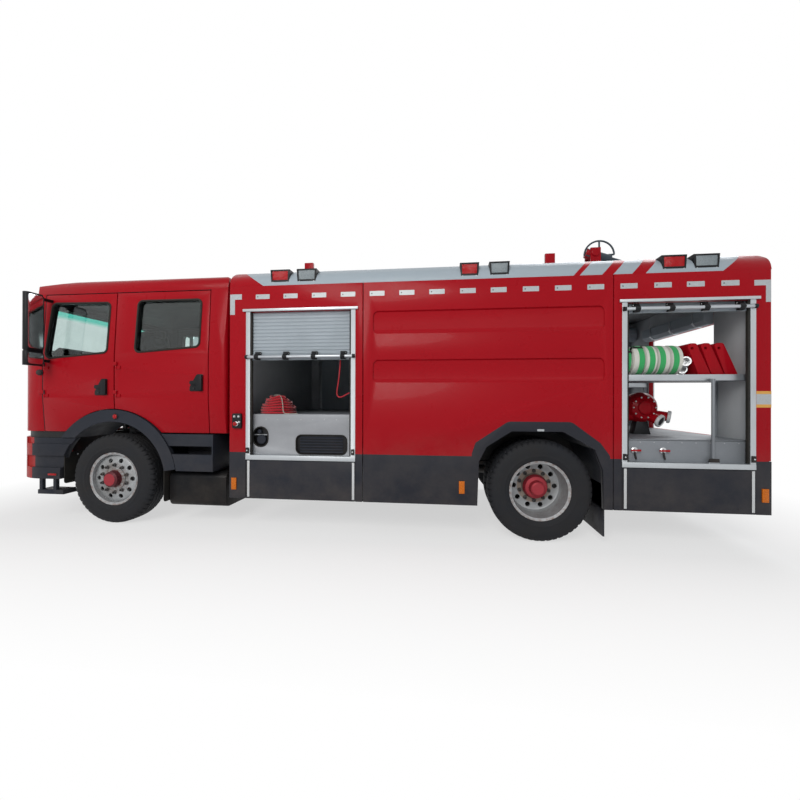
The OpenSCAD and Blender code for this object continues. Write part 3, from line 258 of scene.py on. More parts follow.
def rubber(name, colour, dust):
    """Dull rubber with a fine pitting and dry dust."""
    s = Shader(name, Specular_IOR_Level=0.25)
    share = s.span(s.noise(2.3, 5.0, rough=0.65), 0.3, 0.75, 0.0, dust)
    s.feed("Base Color", s.mix(share, s.tone(s.noise(5.0, 4.0), colour, 0.75, 1.3), linear("#8f8577")))
    s.feed("Roughness", s.span(share, 0.0, dust, 0.62, 0.85))
    s.feed("Normal", s.bump(s.noise(350.0, 2.0), 0.0006, 0.5))
    return s.mat


def woven(name, colour, dark, scale):
    """Plain weave."""
    s = Shader(name, Sheen_Weight=0.35, Sheen_Roughness=0.5)
    thread = s.math("MULTIPLY", s.wave(scale, "X"), s.wave(scale, "Z"))
    s.feed("Base Color", s.mix(thread, linear(dark), s.tone(s.noise(7.0, 4.0), colour, 0.85, 1.1)))
    s.feed("Roughness", s.span(thread, 0.0, 1.0, 0.95, 0.75))
    s.feed("Normal", s.bump(thread, 0.0012, 0.5))
    return s.mat


def tape(name, colour):
    """Retro-reflective tape: glossy film over small cells, with worn edges."""
    s = Shader(name, Coat_Weight=0.4, Coat_Roughness=0.12)
    cell = s.cells(150.0)
    worn = s.span(s.noise(45.0, 5.0), 0.55, 0.8, 0.0, 0.35)
    s.feed("Base Color", s.mix(worn, s.tone(cell, colour, 1.05, 0.86), linear(colour, 0.6)))
    s.feed("Roughness", s.span(cell, 0.0, 1.0, 0.25, 0.4))
    s.feed("Normal", s.bump(cell, 0.0004, 0.35))
    return s.mat


def window_glass(name, tint, band=None):
    """Faintly dirty glass. band is the colour of a sun strip and the heights over which it comes in."""
    s = Shader(name, Transmission_Weight=1.0, IOR=1.45)
    grime = s.span(s.noise(3.0, 5.0), 0.4, 0.8)
    tone = s.tone(grime, tint, 1.0, 0.9)
    if band:
        colour, low, high = band
        tone = s.mix(s.span(s.axes()[2], low, high), tone, linear(colour))
    s.feed("Base Color", tone)
    s.feed("Roughness", s.span(grime, 0.0, 1.0, 0.0, 0.035))
    return s.mat


RED, WHITE, DARK = "#a40d1b", "#a8b4bd", "#262a33"
# foot and height of the sloped roof edge
FOOT_Z, EDGE_H = 2.634, 0.186
# red on the roof edge: x at its foot and how far it leans to the rear by the top
RED_FROM, RED_FROM_LEAN = 0.862, -0.27
RED_TO, RED_TO_LEAN = -3.655, 0.232
ROOF_STRIPES, STRIPE_LEAN = ((-2.315, -2.372), (-2.580, -2.682), (-2.853, -2.975)), 0.168


def roof_edge_colour(s):
    """White with red ends and leaning red stripes."""
    x, _, z = s.axes()
    rise = s.span(z, FOOT_Z, FOOT_Z + EDGE_H)

    def leaning(by):
        return s.math("ADD", x, s.math("MULTIPLY", rise, by))

    red = s.math("GREATER_THAN", leaning(RED_FROM_LEAN), RED_FROM)
    red = s.math("MAXIMUM", red, s.math("LESS_THAN", leaning(RED_TO_LEAN), RED_TO))
    for front, rear in ROOF_STRIPES:
        red = s.math("MAXIMUM", red, s.inside(leaning(STRIPE_LEAN), rear, front))
    return s.mix(red, s.tone(s.noise(1.4), WHITE, 0.94, 1.05), linear(RED))


def bumper_colour(s):
    """Dark sides and a red front."""
    return s.mix(s.span(s.axes()[0], 3.715, 3.717), linear(DARK), linear("#a82c2c"))


def rim_paint(which, cap_r, hub_r, ring_r):
    """Silver wheel paint with rust and grime, a red cap, a darker red ring of the hub round it as painted
    shade, and a dull ring under the nuts.
    """
    s = Shader("rim_" + which, Metallic=0.35)
    x, _, z = s.axes()
    dx, dz = s.math("SUBTRACT", x, AXLE_X[which]), s.math("SUBTRACT", z, AXLE_Z)
    r = s.math("SQRT", s.math("ADD", s.math("MULTIPLY", dx, dx), s.math("MULTIPLY", dz, dz)))
    silver = s.mix(s.noise(9.0, 4.0), linear("#94989b"), linear("#b2b5b7"))
    blotch = s.noise(26.0, 6.0, rough=0.7)
    near, edge = s.span(r, 0.19, 0.105), s.span(r, 0.262, 0.3, 0.0, 0.8)
    rust = s.math("MULTIPLY", s.math("MAXIMUM", near, edge), s.span(blotch, 0.40, 0.62))
    grime = s.math("MULTIPLY", s.span(s.noise(5.0, 4.0), 0.42, 0.62, 0.0, 0.55), s.span(r, 0.29, 0.16))
    tone = s.mix(grime, s.mix(rust, silver, linear("#6a4634")), linear("#5c544c"))
    ring = s.mix(blotch, linear("#77695f"), linear("#a3968c"))
    tone = s.mix(s.math("LESS_THAN", r, ring_r), tone, ring)
    cap = s.mix(blotch, linear("#8c2530"), linear("#a52c38"))
    # on the front wheels the hub's ring outside the cap is a darker red: painted shade on the hub's flank
    red = s.mix(s.math("LESS_THAN", r, cap_r), linear("#571c24"), cap)
    s.feed("Base Color", s.mix(s.math("LESS_THAN", r, hub_r), tone, red))
    s.feed("Roughness", s.span(blotch, 0.3, 0.7, 0.38, 0.6))
    s.feed("Normal", s.bump(blotch, 0.0008, 0.35))
    return s.mat


M = {
    "red": paint("red_paint", RED),
    "edge": paint("roof_edge_paint", roof_edge_colour, dust=0.0),
    "grey": paint("skirt_paint", "#2e3037", rough=0.38, dust=0.2),
    "white": paint("white_trim", "#d3d6d8", coat=0.3, dust=0.15),
    "yellow": tape("yellow_tape", "#e0a544"),
    "tape": tape("white_tape", "#b6bcc0"),
    "alu": metal("aluminium", "#b3b8bd", 0.36),
    "alu_up": metal("aluminium_upright", "#bcc1c5", 0.36, (40.0, 40.0, 1.0)),
    "slat": metal("shutter_slats", "#a3adb5", 0.6, (1.0, 60.0, 60.0), 0.12, 0.15),
    "sheet": metal("aluminium_sheet", "#858a90", 0.5, (3.0, 60.0, 60.0), 0.2),
    # the locker walls: the aluminium sheet painted lighter than the decks' sheet, as painted light in the
    # shaded lockers
    "wall": metal("locker_wall_painted_light", "#c6cacd", 0.6, (3.0, 60.0, 60.0), 0.0),
    "panel": metal("locker_panel", "#9c9fa4", 0.5, (3.0, 60.0, 60.0), 0.3),
    "barrel": paint("barrel_grey", "#465058", coat=0.1, rough=0.4, dust=0.1),
    "plate": tread_plate("tread_plate", "#aeb2b5"),
    "steel": metal("bright_steel", "#c4c6c8", 0.28, metallic=1.0),
    "plastic": plastic("dark_plastic", DARK, dust=0.2),
    "bumper": paint("bumper_paint", bumper_colour, coat=0.08, rough=0.45, dust=0.15),
    "black": plastic("black_plastic", "#17181b", 0.42),
    "trim": plastic("cab_trim", "#4a4b4e", 0.6, dust=0.0),
    "rubber": rubber("seal_rubber", "#141516", 0.12),
    "tyre": rubber("tyre_rubber", "#15181e", 0.06),
    "iron": iron("chassis_black", "#26282b"),
    "cast": iron("cast_iron", "#4a4c4f", 0.65, 0.4),
    "engine": iron("engine_block", "#5a5d60", 0.6, 0.3),
    "glass": window_glass("window_glass", "#dde9e7"),
    "screen": window_glass("screen_glass", "#dde9e7", ("#5fd2c0", 2.45, 2.50)),
    "lens_red": lens("red_lens", "#b3121a"),
    "lens_clear": lens("clear_lens", "#8d979c"),
    "lens_amber": lens("amber_lens", "#d9731c"),
    "lens_dark": lens("smoked_lens", "#2a1a16"),
    "head": lens("head_lens", "#dfe6ea", 0.75, 120.0),
    "fabric": woven("seat_cloth", "#4c4f55", "#1d1e20", 70.0),
    "hose": woven("hose_canvas", "#fbfbf5", "#d6d7cc", 95.0),
    "green": woven("green_canvas", "#4ed883", "#2a9c55", 95.0),
    "rope": woven("red_canvas", "#e01a2f", "#a91424", 90.0),
    "cord": woven("pale_cord", "#e2dfd6", "#9c988c", 160.0),
    "tank": paint("tank_black", "#17181b", rough=0.45, dust=0.12),
    "mirror": metal("mirror_glass", "#d6dadd", 0.06, metallic=1.0, stain=0.05),
    "rim_front": rim_paint("front", 0.067, 0.098, 0.098),
    "rim_rear": rim_paint("rear", 0.128, 0.128, 0.178),
}

# CAD pieces

NODE_LOOK = {
    "red": "cab_back cab_front cab_roof door_front_left door_front_right door_rear_left door_rear_right"
    " side_panels end_walls monitor_turret ramps pump",
    "edge": "coaming",
    "grey": "skirts step_panel_front_left step_panel_front_right step_panel_rear_left step_panel_rear_right",
    "alu_up": "locker_frames ladder",
    "slat": "shutters",
    "sheet": "decks tank",
    "plate": "roof_deck",
    "plastic": "mudguards cab_steps",
    "bumper": "front_bumper",
    "barrel": "monitor_barrel",
    "black": "grille mirror_left mirror_right",
    "trim": "dashboard cab_floor",
    "tyre": "tyre_front_left tyre_front_right tyres_rear_left tyres_rear_right",
    "iron": "frame leaf_springs propshaft tie_rod",
    "tank": "side_tanks",
    "cast": "knuckle_left knuckle_right front_axle rear_axle",
    "engine": "engine",
    "screen": "windscreen",
    "glass": "glass_front_left glass_front_right glass_rear_left glass_rear_right",
    "lens_red": "lamps_colour",
    "lens_clear": "lamps_clear",
    "fabric": "seats",
    "hose": "hose_rolls",
    "rim_front": "rim_front_left rim_front_right",
    "rim_rear": "rims_rear_left rims_rear_right",
}
# inner edges of the side windows lie between these in X
WINDOW_SPAN = {"front": (2.70, 3.545), "rear": (1.60, 2.42)}
# door handles: middle of the grip, in X and Z
HANDLES = {"front": (2.808, 1.557), "rear": (1.650, 1.602)}
# the monitor's tilt axis, and the middle and radius of the guard bow behind it
MONITOR_X, TILT_Z = -2.938, 3.27
BOW_X, BOW_R = -3.018, 0.18


def inward(c, n):
    """A face of the cab's shell that looks into the cab."""
    return n.y * c.y < -0.3 or (n.z < -0.5 and c.z > 2.3) or n.x * (c.x - 2.6) < -0.5


def on_bow(c):
    return abs(c.y) < 0.013 and math.hypot(c.x - BOW_X, c.z - TILT_Z) > BOW_R - 0.015


def door_looks(which, hand):
    """Lining, window frame and handle bowl of a door."""
    low, high = WINDOW_SPAN[which]
    node = "door_%s_%s" % (which, hand)
    at = HANDLES[which][0]
    return [
        (node, "trim", lambda c, n: n.y * c.y < -0.3),
        (node, "black", lambda c, n: abs(n.y) < 0.5 and 1.87 < c.z < 2.56 and low < c.x < high),
        (node, "black", lambda c, n: abs(c.y) > 1.2081 and c.z < 1.75 and abs(c.x - at) < 0.07),
    ]


# a second look on the faces of a node whose middle and normal pass a test
FACE_LOOK = [
    ("roof_deck", "red", lambda c, n: 0.87 < abs(c.y) < 0.93 and c.z > 2.63),
    # the inner faces of the locker walls take the lighter sheet, painted light in the shaded lockers
    ("side_panels", "wall", lambda c, n: abs(c.y) < 1.2),
    ("end_walls", "wall", lambda c, n: -3.96 < c.x < 1.2),
    ("decks", "panel", lambda c, n: abs(n.y) > 0.5 and c.z < 1.3 and c.x > -0.3),
    ("decks", "alu", lambda c, n: abs(n.y) > 0.5 and 1.55 < c.z < 1.70 and c.x < -2.6),
    ("cab_floor", "red", lambda c, n: abs(c.y) > 1.19),
    ("lamps_colour", "lens_amber", lambda c, n: abs(c.y) > 1.2 and c.z < 0.7),
    ("lamps_clear", "head", lambda c, n: c.x > 2.0),
    ("hose_rolls", "rope", lambda c, n: c.x > 0.0),
    ("pump", "steel", lambda c, n: c.x < -3.2),
    ("monitor_barrel", "red", lambda c, n: c.x > MONITOR_X + 0.003 and not on_bow(c)),
    ("dashboard", "black", lambda c, n: c.x < 3.6 and abs(c.y - 0.56) < 0.25),
]
FACE_LOOK += [(node, "trim", inward) for node in ("cab_back", "cab_front", "cab_roof")]
FACE_LOOK += [row for which in WINDOW_SPAN for hand in HANDS.values() for row in door_looks(which, hand)]
# width of the rounded edges of a look's nodes
EDGES = {
    0.003: "red edge grey plastic bumper black barrel trim",
    0.0015: "alu_up slat sheet plate iron tank cast engine lens_red lens_clear",
}
EDGE_OF = {look: width for width, looks in EDGES.items() for look in looks.split()}
PLAIN_NODES = {"shutters", "frame", "mudguards"}


def round_edges(o, width, degrees):
    edge = o.modifiers.new("edge", "BEVEL")
    edge.width, edge.segments = width, 2
    edge.limit_method, edge.angle_limit = "ANGLE", math.radians(degrees)


def angle_group(name, degrees):
    """Node group that shades smooth up to an angle between faces."""
    tree = bpy.data.node_groups.new(name, "GeometryNodeTree")
    for way in ("INPUT", "OUTPUT"):
        tree.interface.new_socket("Geometry", in_out=way, socket_type="NodeSocketGeometry")
    g = Nodes(tree)
    shape = g.made("NodeGroupInput")[0]
    angle = g.made("GeometryNodeInputMeshEdgeAngle")[0]
    flat = g.made("FunctionNodeCompare", {0: angle, 1: math.radians(degrees)}, operation="LESS_EQUAL")[0]
    faces = g.made("GeometryNodeSetShadeSmooth", {0: shape})[0]
    edges = g.made("GeometryNodeSetShadeSmooth", {0: faces, "Shade Smooth": flat}, domain="EDGE")[0]
    g.made("NodeGroupOutput", {0: edges})
    return tree


def smooth_by_angle(o, degrees):
    """Smooth shading up to the given angle, worked out after the modifiers."""
    name = "by_angle_%d" % degrees
    tree = bpy.data.node_groups.get(name) or angle_group(name, degrees)
    o.modifiers.new("by_angle", "NODES").node_group = tree


def dress(name, look):
    """Materials, rounded edges and smooth shading of a CAD node."""
    o = nodes[name]
    mesh = o.data
    mesh.materials.clear()
    mesh.materials.append(M[look])
    normals = mesh.attributes.get("custom_normal")
    if normals is not None:
        mesh.attributes.remove(normals)
    for p in mesh.polygons:
        p.material_index = 0
    for _, second, test in [row for row in FACE_LOOK if row[0] == name]:
        mesh.materials.append(M[second])
        for p in mesh.polygons:
            if test(p.center, p.normal):
                p.material_index = len(mesh.materials) - 1
    mesh.shade_smooth()
    o.modifiers.new("weld", "WELD").merge_threshold = 2e-5
    if look in EDGE_OF and name not in PLAIN_NODES:
        flat = o.modifiers.new("flat", "DECIMATE")
        flat.decimate_type, flat.delimit = "DISSOLVE", {"MATERIAL"}
        flat.angle_limit = math.radians(0.6)
        round_edges(o, EDGE_OF[look], 38)
    smooth_by_angle(o, 32)


for look, names in NODE_LOOK.items():
    for name in names.split():
        dress(name, look)

# pieces


def add_object(name, shape, looks):
    """A bmesh as an object of the scene."""
    mesh = bpy.data.meshes.new(name)
    shape.to_mesh(mesh)
    shape.free()
    for look in looks:
        mesh.materials.append(M[look])
    mesh.shade_smooth()
    o = bpy.data.objects.new(name, mesh)
    scene.collection.objects.link(o)
    return o


class Piece:
    """Shapes gathered in one mesh that rides on a body. With a side, they are drawn for the left one."""

    def __init__(self, name, body, bevel=0.0, side=0, smooth=35):
        self.name = name + "_" + HANDS[side] if side else name
        self.body, self.bevel, self.smooth = body, bevel, smooth
        self.mesh = bmesh.new()
        self.looks = []
        self.place = Matrix.Diagonal((1.0, -1.0 if side < 0 else 1.0, 1.0, 1.0))

    def rings(self, rings, look, closed=False):
        """A skin over rings of points. The ends are capped unless the rings close up."""
        if look not in self.looks:
            self.looks.append(look)
        index = self.looks.index(look)
        made = [[self.mesh.verts.new(self.place @ Vector(p)) for p in ring] for ring in rings]
        n, faces = len(made[0]), []
        for a, b in zip(made, made[1:] + made[:1] if closed else made[1:]):
            faces += [(a[i], a[(i + 1) % n], b[(i + 1) % n], b[i]) for i in range(n)]
        if not closed:
            faces += [made[0][::-1], made[-1]]
        for f in faces:
            self.mesh.faces.new(f).material_index = index

    def slab(self, axis, outline, low, high, look):
        """An outline in the other two axes, drawn out along one."""
        at = "xyz".index(axis)
        ends = []
        for t in (low, high):
            ends.append([(*tuple(p)[:at], t, *tuple(p)[at:]) for p in outline])
        self.rings(ends, look)

    def plate(self, axis, u, v, radius, depth, look):
        """A slab with round corners."""
        self.slab(axis, round_rect(*u, *v, radius), *depth, look)

    def box(self, x, y, z, look):
        self.slab("z", [(x[0], y[0]), (x[1], y[0]), (x[1], y[1]), (x[0], y[1])], *z, look)

    def tube(self, path, radius, look, n=10, closed=False):
        """A round bar along a line of points. radius may be a list, one for each point."""
        path = [Vector(p) for p in path]
        radii = radius if isinstance(radius, (list, tuple)) else [radius] * len(path)
        rings, across = [], None
        for i, p in enumerate(path):
            ahead = path[(i + 1) % len(path)] if closed or i + 1 < len(path) else p
            behind = path[i - 1] if closed or i else p
            along = (ahead - behind).normalized()
            if across is None:
                across = along.orthogonal()
            across = (across - along * across.dot(along)).normalized()
            other = along.cross(across)
            rings.append([p + across * u + other * v for u, v in around(n, radii[i])])
        self.rings(rings, look, closed)

    def lathe(self, profile, centre, axis, look, n=32):
        """(radius, offset) points turned about an axis through centre, pointing along axis."""
        axis = Vector(axis).normalized()
        a = axis.orthogonal().normalized()
        b = axis.cross(a)
        rings = []
        for r, t in profile:
            middle = Vector(centre) + axis * t
            rings.append([middle + max(r, 1e-4) * (u * a + v * b) for u, v in around(n, 1.0)])
        self.rings(rings, look)

    def stud(self, size, centre, axis, look, n):
        """A turned head: its radius, the height of its side, the radius of its top and its whole height."""
        radius, side, top_radius, top = size
        self.lathe([(radius, 0.0), (radius, side), (top_radius, top)], centre, axis, look, n)

    def done(self):
        bmesh.ops.recalc_face_normals(self.mesh, faces=self.mesh.faces)
        o = add_object(self.name, self.mesh, self.looks)
        if self.bevel:
            round_edges(o, self.bevel, 40)
        smooth_by_angle(o, self.smooth)
        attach(o, self.body)
        return o


def around(count, radius, u=0.0, v=0.0, phase=0.0, flat=1.0):
    """Points of a circle about (u, v). flat is the height of an oval to its width."""
    turns = [phase + TURN * k / count for k in range(count)]
    return [(u + radius * math.cos(a), v + radius * flat * math.sin(a)) for a in turns]


NEARLY_STRAIGHT = 1.56


def rounded(points, steps=5):
    """Outline through (u, v, corner radius) points."""
    out, n = [], len(points)
    for i, (u, v, r) in enumerate(points):
        q = Vector((u, v))
        p, s = Vector(points[i - 1][:2]), Vector(points[(i + 1) % n][:2])
        a, b = (p - q).normalized(), (s - q).normalized()
        half = a.angle(b) / 2
        if r <= 0 or half > NEARLY_STRAIGHT:
            out.append(q)
            continue
        c = q + (a + b).normalized() * (r / math.sin(half))
        t0, t1 = q + a * (r / math.tan(half)) - c, q + b * (r / math.tan(half)) - c
        turn = t0.angle_signed(t1)
        for k in range(steps + 1):
            out.append(c + Matrix.Rotation(-turn * k / steps, 2) @ t0)
    return out


def round_rect(u0, u1, v0, v1, r):
    return rounded([(u0, v0, r), (u1, v0, r), (u1, v1, r), (u0, v1, r)])


def skin_y(name, x, z):
    """y of the outer skin of a left-hand node at x and z."""
    hit, at, _, _ = nodes[name].ray_cast(Vector((x, 3.0, z)), Vector((0.0, -1.0, 0.0)))
    return at.y if hit else None


def door_body(which, side):
    return "door_" + which[0] + HANDS[side][0]


# wheels

LUGS, LUG_STEPS = 52, 5
ZIGZAG = 0.004
# half section of a tyre: radius and offset from its middle plane, from the bead to the shoulder
TYRE_SIDE = [
    (0.2863, 0.1037), (0.3003, 0.1097), (0.3003, 0.1180), (0.3060, 0.1228), (0.3140, 0.1290),
    (0.3260, 0.1335), (0.3450, 0.1374), (0.3480, 0.1395), (0.3560, 0.1402), (0.3600, 0.1392),
    (0.3800, 0.1412), (0.4050, 0.1423), (0.4300, 0.1408), (0.4520, 0.1378), (0.4620, 0.1352),
]
# tread: radius, offset, groove depth between the lugs
TREAD = [
    (0.4720, 0.1305, 0.004), (0.4900, 0.1203, 0.012), (0.5000, 0.1080, 0.014), (0.5045, 0.0980, 0.014),
    (0.5070, 0.0830, 0.012), (0.5075, 0.0780, 0.0), (0.4960, 0.0765, 0.0), (0.4960, 0.0700, 0.0),
    (0.5085, 0.0685, 0.0), (0.5100, 0.0360, 0.004), (0.5100, 0.0290, 0.0), (0.4980, 0.0275, 0.0),
    (0.4980, 0.0205, 0.0), (0.5100, 0.0190, 0.0),
]
# points of the section up to the ribs that run in a zigzag
BEFORE_RIBS = len(TYRE_SIDE) + 5
NUTS, NUT_RING, NUT_PHASE = 10, 0.157, 0.314
COLLAR = [(0.021, 0.0005), (0.021, 0.004), (0.017, 0.006)]
STUD_END = [(0.0098, 0.025), (0.0098, 0.038), (0.008, 0.041)]
SHIELD = [
    (0.047, 0.0), (0.222, 0.0), (0.252, 0.006), (0.262, 0.012), (0.262, 0.024), (0.259, 0.024),
    (0.259, 0.014), (0.25, 0.0085), (0.22, 0.0035), (0.047, 0.0035), (0.047, 0.0),
]
SHIELD_BOLTS, SHIELD_RING = 6, 0.235


def tyre_rings(x, y):
    half = [(r, t, 0.0) for r, t in TYRE_SIDE] + TREAD
    section = half + [(r, -t, d) for r, t, d in reversed(half)]
    rings = []
    for i in range(LUGS * LUG_STEPS):
        a = TURN * i / (LUGS * LUG_STEPS)
        shift = ZIGZAG if (i // LUG_STEPS) % 2 else -ZIGZAG
        ring = []
        for k, (r, t, depth) in enumerate(section):
            r -= depth if i % LUG_STEPS == 0 else 0.0
            t += shift if BEFORE_RIBS <= k < len(section) - BEFORE_RIBS else 0.0
            ring.append((x + r * math.cos(a), y + t, AXLE_Z + r * math.sin(a)))
        rings.append(ring)
    return rings


def make_tyres(node, body, x, middles):
    """Tyres with a lugged tread, plain ribs on the sides and a zigzag of ribs round the middle."""
    p = Piece(node + "_tread", body, smooth=28)
    for y in middles:
        p.rings(tyre_rings(x, y), "tyre", closed=True)
    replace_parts(p.done(), node)


def make_nuts(name, body, x, y, side):
    """Wheel nuts on studs, with a collar each."""
    p = Piece(name, body, 0.0012, side)
    for k, (cx, cz) in enumerate(around(NUTS, NUT_RING, x, AXLE_Z, NUT_PHASE)):
        p.lathe(COLLAR, (cx, y, cz), LEFT, "cast", 20)
        p.slab("y", around(6, 0.0175, cx, cz, NUT_PHASE + TURN * k / NUTS), y + 0.005, y + 0.026, "cast")
        p.lathe(STUD_END, (cx, y, cz), LEFT, "iron", 14)
    p.done()


def make_brake_shield(name, body, x, y, side):
    """Pressed dust shield behind a wheel's drum, with a turned-up rim and its bolts."""
    p = Piece(name, body, 0.001, side)
    p.lathe(SHIELD, (x, y, AXLE_Z), LEFT, "black", 64)
    for u, v in around(SHIELD_BOLTS, SHIELD_RING, x, AXLE_Z, math.pi / SHIELD_BOLTS):
        p.lathe([(0.01, 0.004), (0.01, -0.004), (0.007, -0.007)], (u, y, v), LEFT, "iron", 6)
    p.done()


for side, hand in HANDS.items():
    front, rear = "wheel_f" + hand[0], "wheels_r" + hand[0]
    make_brake_shield("brake_shield_front", "knuckle_" + hand[0], AXLE_X["front"], 0.9645, side)
    make_brake_shield("brake_shield_rear", "chassis", AXLE_X["rear"], 0.6635, side)
    make_tyres("tyre_front_" + hand, front, AXLE_X["front"], [side * 1.05])
    make_tyres("tyres_rear_" + hand, rear, AXLE_X["rear"], [side * 0.743, side * 1.073])
    make_nuts("nuts_front", front, AXLE_X["front"], 1.1462, side)
    make_nuts("nuts_rear", rear, AXLE_X["rear"], 0.9223, side)

# tapes, trims and lockers on the body sides

SKIN = 1.25
TAPE_T, TAPE_LEN = 0.0009, 0.155
# front end of each reflective strip under the roof edge
STRIPS = [
    0.942, 0.633, 0.321, 0.011, -0.296, -0.604, -0.911, -1.220,
    -1.522, -1.833, -2.139, -2.442, -2.745, -3.050, -3.338, -3.637,
]
# corner marks: foot, arm and end of each
CORNER_MARKS = [
    [(1.1, 2.492), (1.178, 2.492), (1.178, 2.33), (1.232, 2.33), (1.232, 2.549), (1.1, 2.549)],
    [(-3.918, 2.485), (-4.016, 2.485), (-4.016, 2.33), (-4.06, 2.33), (-4.06, 2.536), (-3.918, 2.536)],
]
BELT = ((1.354, 1.383, "yellow"), (1.383, 1.479, "tape"), (1.479, 1.506, "yellow"))
# lockers: clear opening (rear, front) and the height of the lift bar
LOCKERS = {"front": (-0.147, 1.051, 1.871), "rear": (-3.933, -2.761, 2.291)}
SHUT_BAR_Z = 0.855
POST, BRACKETS = 0.048, 4
BAR_Y, BAR_R, BAR_END_R = 1.272, 0.017, 0.021
# face of the lockers' lower panels
PANEL_Y = 1.19
POST_RIVET = [(0.004, 0.0), (0.0036, 0.0012), (0.0018, 0.002)]
PANEL_RIVET = [(0.0045, 0.0), (0.004, 0.0014), (0.002, 0.0022)]
SIDE_SCREW = [(0.005, 0.0), (0.0045, 0.0012), (0.002, 0.002)]


def make_tapes(side):
    p = Piece("tapes", "chassis", side=side)
    film = (SKIN + 0.0001, SKIN + TAPE_T)
    for x in STRIPS:
        p.plate("y", (x - TAPE_LEN, x), (2.491, 2.541), 0.004, film, "tape")
        p.plate("y", (x - 0.029, x - 0.017), (2.51, 2.522), 0.005, (film[1], film[1] + 0.0003), "iron")
    for outline in CORNER_MARKS:
        p.slab("y", outline, *film, "tape")
    # wide belt at the rear corner
    for low, high, look in BELT:
        p.slab("y", [(-4.062, low), (-3.936, low), (-3.936, high), (-4.062, high)], *film, look)
    # short strip over the rear wheel
    y = skin_y("skirts", -2.007, 1.13)
    p.plate("y", (-2.04, -1.974), (1.112, 1.132), 0.003, (y + 0.0001, y + TAPE_T), "tape")
    p.done()


def lift_bracket(p, x, z):
    """Black clip that holds the lift bar on the shutter's lowest slat."""
    nose = [(1.2262, z - 0.03, 0.004), (1.27, z - 0.03, 0.012), (1.296, z, 0.012)]
    nose += [(1.27, z + 0.03, 0.012), (1.2262, z + 0.055, 0.004)]
    p.slab("x", rounded(nose), x - 0.024, x + 0.024, "black")
    p.plate("y", (x - 0.034, x + 0.034), (z + 0.02, z + 0.058), 0.008, (1.2265, 1.236), "black")
    for u in (-0.022, 0.022):
        p.stud((0.0055, 0.003, 0.003, 0.0045), (x + u, 1.236, z + 0.039), LEFT, "steel", 10)


def make_locker_trim(which, side):
    """Seals, lift bar with brackets, latches and rivets of one locker."""
    rear, front, bar_z = LOCKERS[which]
    if side < 0 and which == "front":
        bar_z = SHUT_BAR_Z
    p = Piece("locker_trim_" + which, "chassis", 0.0012, side)
    # rubber seals on the inner edges of the posts
    for x in (rear + POST, front - POST - 0.016):
        p.box((x, x + 0.016), (1.214, 1.2435), (0.832, 2.35), "rubber")
    # lift bar across the posts
    ends = rear + 0.016, front - 0.016
    p.tube([(x, BAR_Y, bar_z) for x in ends], BAR_R, "alu", 16)
    for k in range(BRACKETS):
        lift_bracket(p, rear + 0.13 + k * (front - rear - 0.26) / (BRACKETS - 1), bar_z)
    for x in ends:
        p.slab("x", around(16, BAR_END_R, BAR_Y, bar_z), x - 0.012, x + 0.012, "black")
    # latches at the feet of the posts
    for x in (rear + POST / 2, front - POST / 2):
        p.plate("y", (x - 0.017, x + 0.017), (0.845, 0.905), 0.006, (1.2531, 1.268), "black")
        p.stud((0.008, 0.006, 0.006, 0.008), (x, 1.268, 0.875), LEFT, "steel", 14)
    for x in (rear + 0.012, rear + 0.036, front - 0.012, front - 0.036):
        for k in range(8):
            p.lathe(POST_RIVET, (x, 1.2531, 0.95 + 0.19 * k), LEFT, "steel", 8)
    p.done()


def make_step_trim(which, side):
    """White edges and hinge screws of a folding step panel."""
    low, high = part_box("step_panel_%s_%s" % (which, HANDS[side]))
    p = Piece("step_trim_" + which, "step_" + which[0] + HANDS[side][0], 0.0008, side)
    for x in (low.x + 0.046, high.x - 0.056):
        p.plate("y", (x - 0.0125, x + 0.0125), (0.378, 0.764), 0.003, (1.2502, 1.2522), "white")
    for k in range(-2, 3):
        at = ((low.x + high.x) / 2 + k * 0.22, 1.2502, 0.405)
        p.stud((0.006, 0.0015, 0.003, 0.0028), at, LEFT, "grey", 12)
    p.done()


def make_switch_box():
    """Shutter and lamp switches beside the front locker."""
    p = Piece("switch_box", "chassis", 0.0025)
    face = 1.277
    p.plate("y", (1.09, 1.192), (1.11, 1.268), 0.014, (SKIN + 0.0003, face), "black")
    knob = (1.146, face, 1.158)
    p.stud((0.026, 0.006, 0.021, 0.009), knob, LEFT, "steel", 32)
    p.lathe([(0.017, 0.008), (0.022, 0.018), (0.022, 0.03), (0.016, 0.034)], knob, LEFT, "lens_red")
    for x, z in ((1.165, 1.236), (1.118, 1.236), (1.112, 1.178)):
        cap = [(0.0125, 0.0), (0.0125, 0.004), (0.009, 0.008), (0.0085, 0.012)]
        p.lathe(cap, (x, face, z), LEFT, "white", 20)
    p.done()


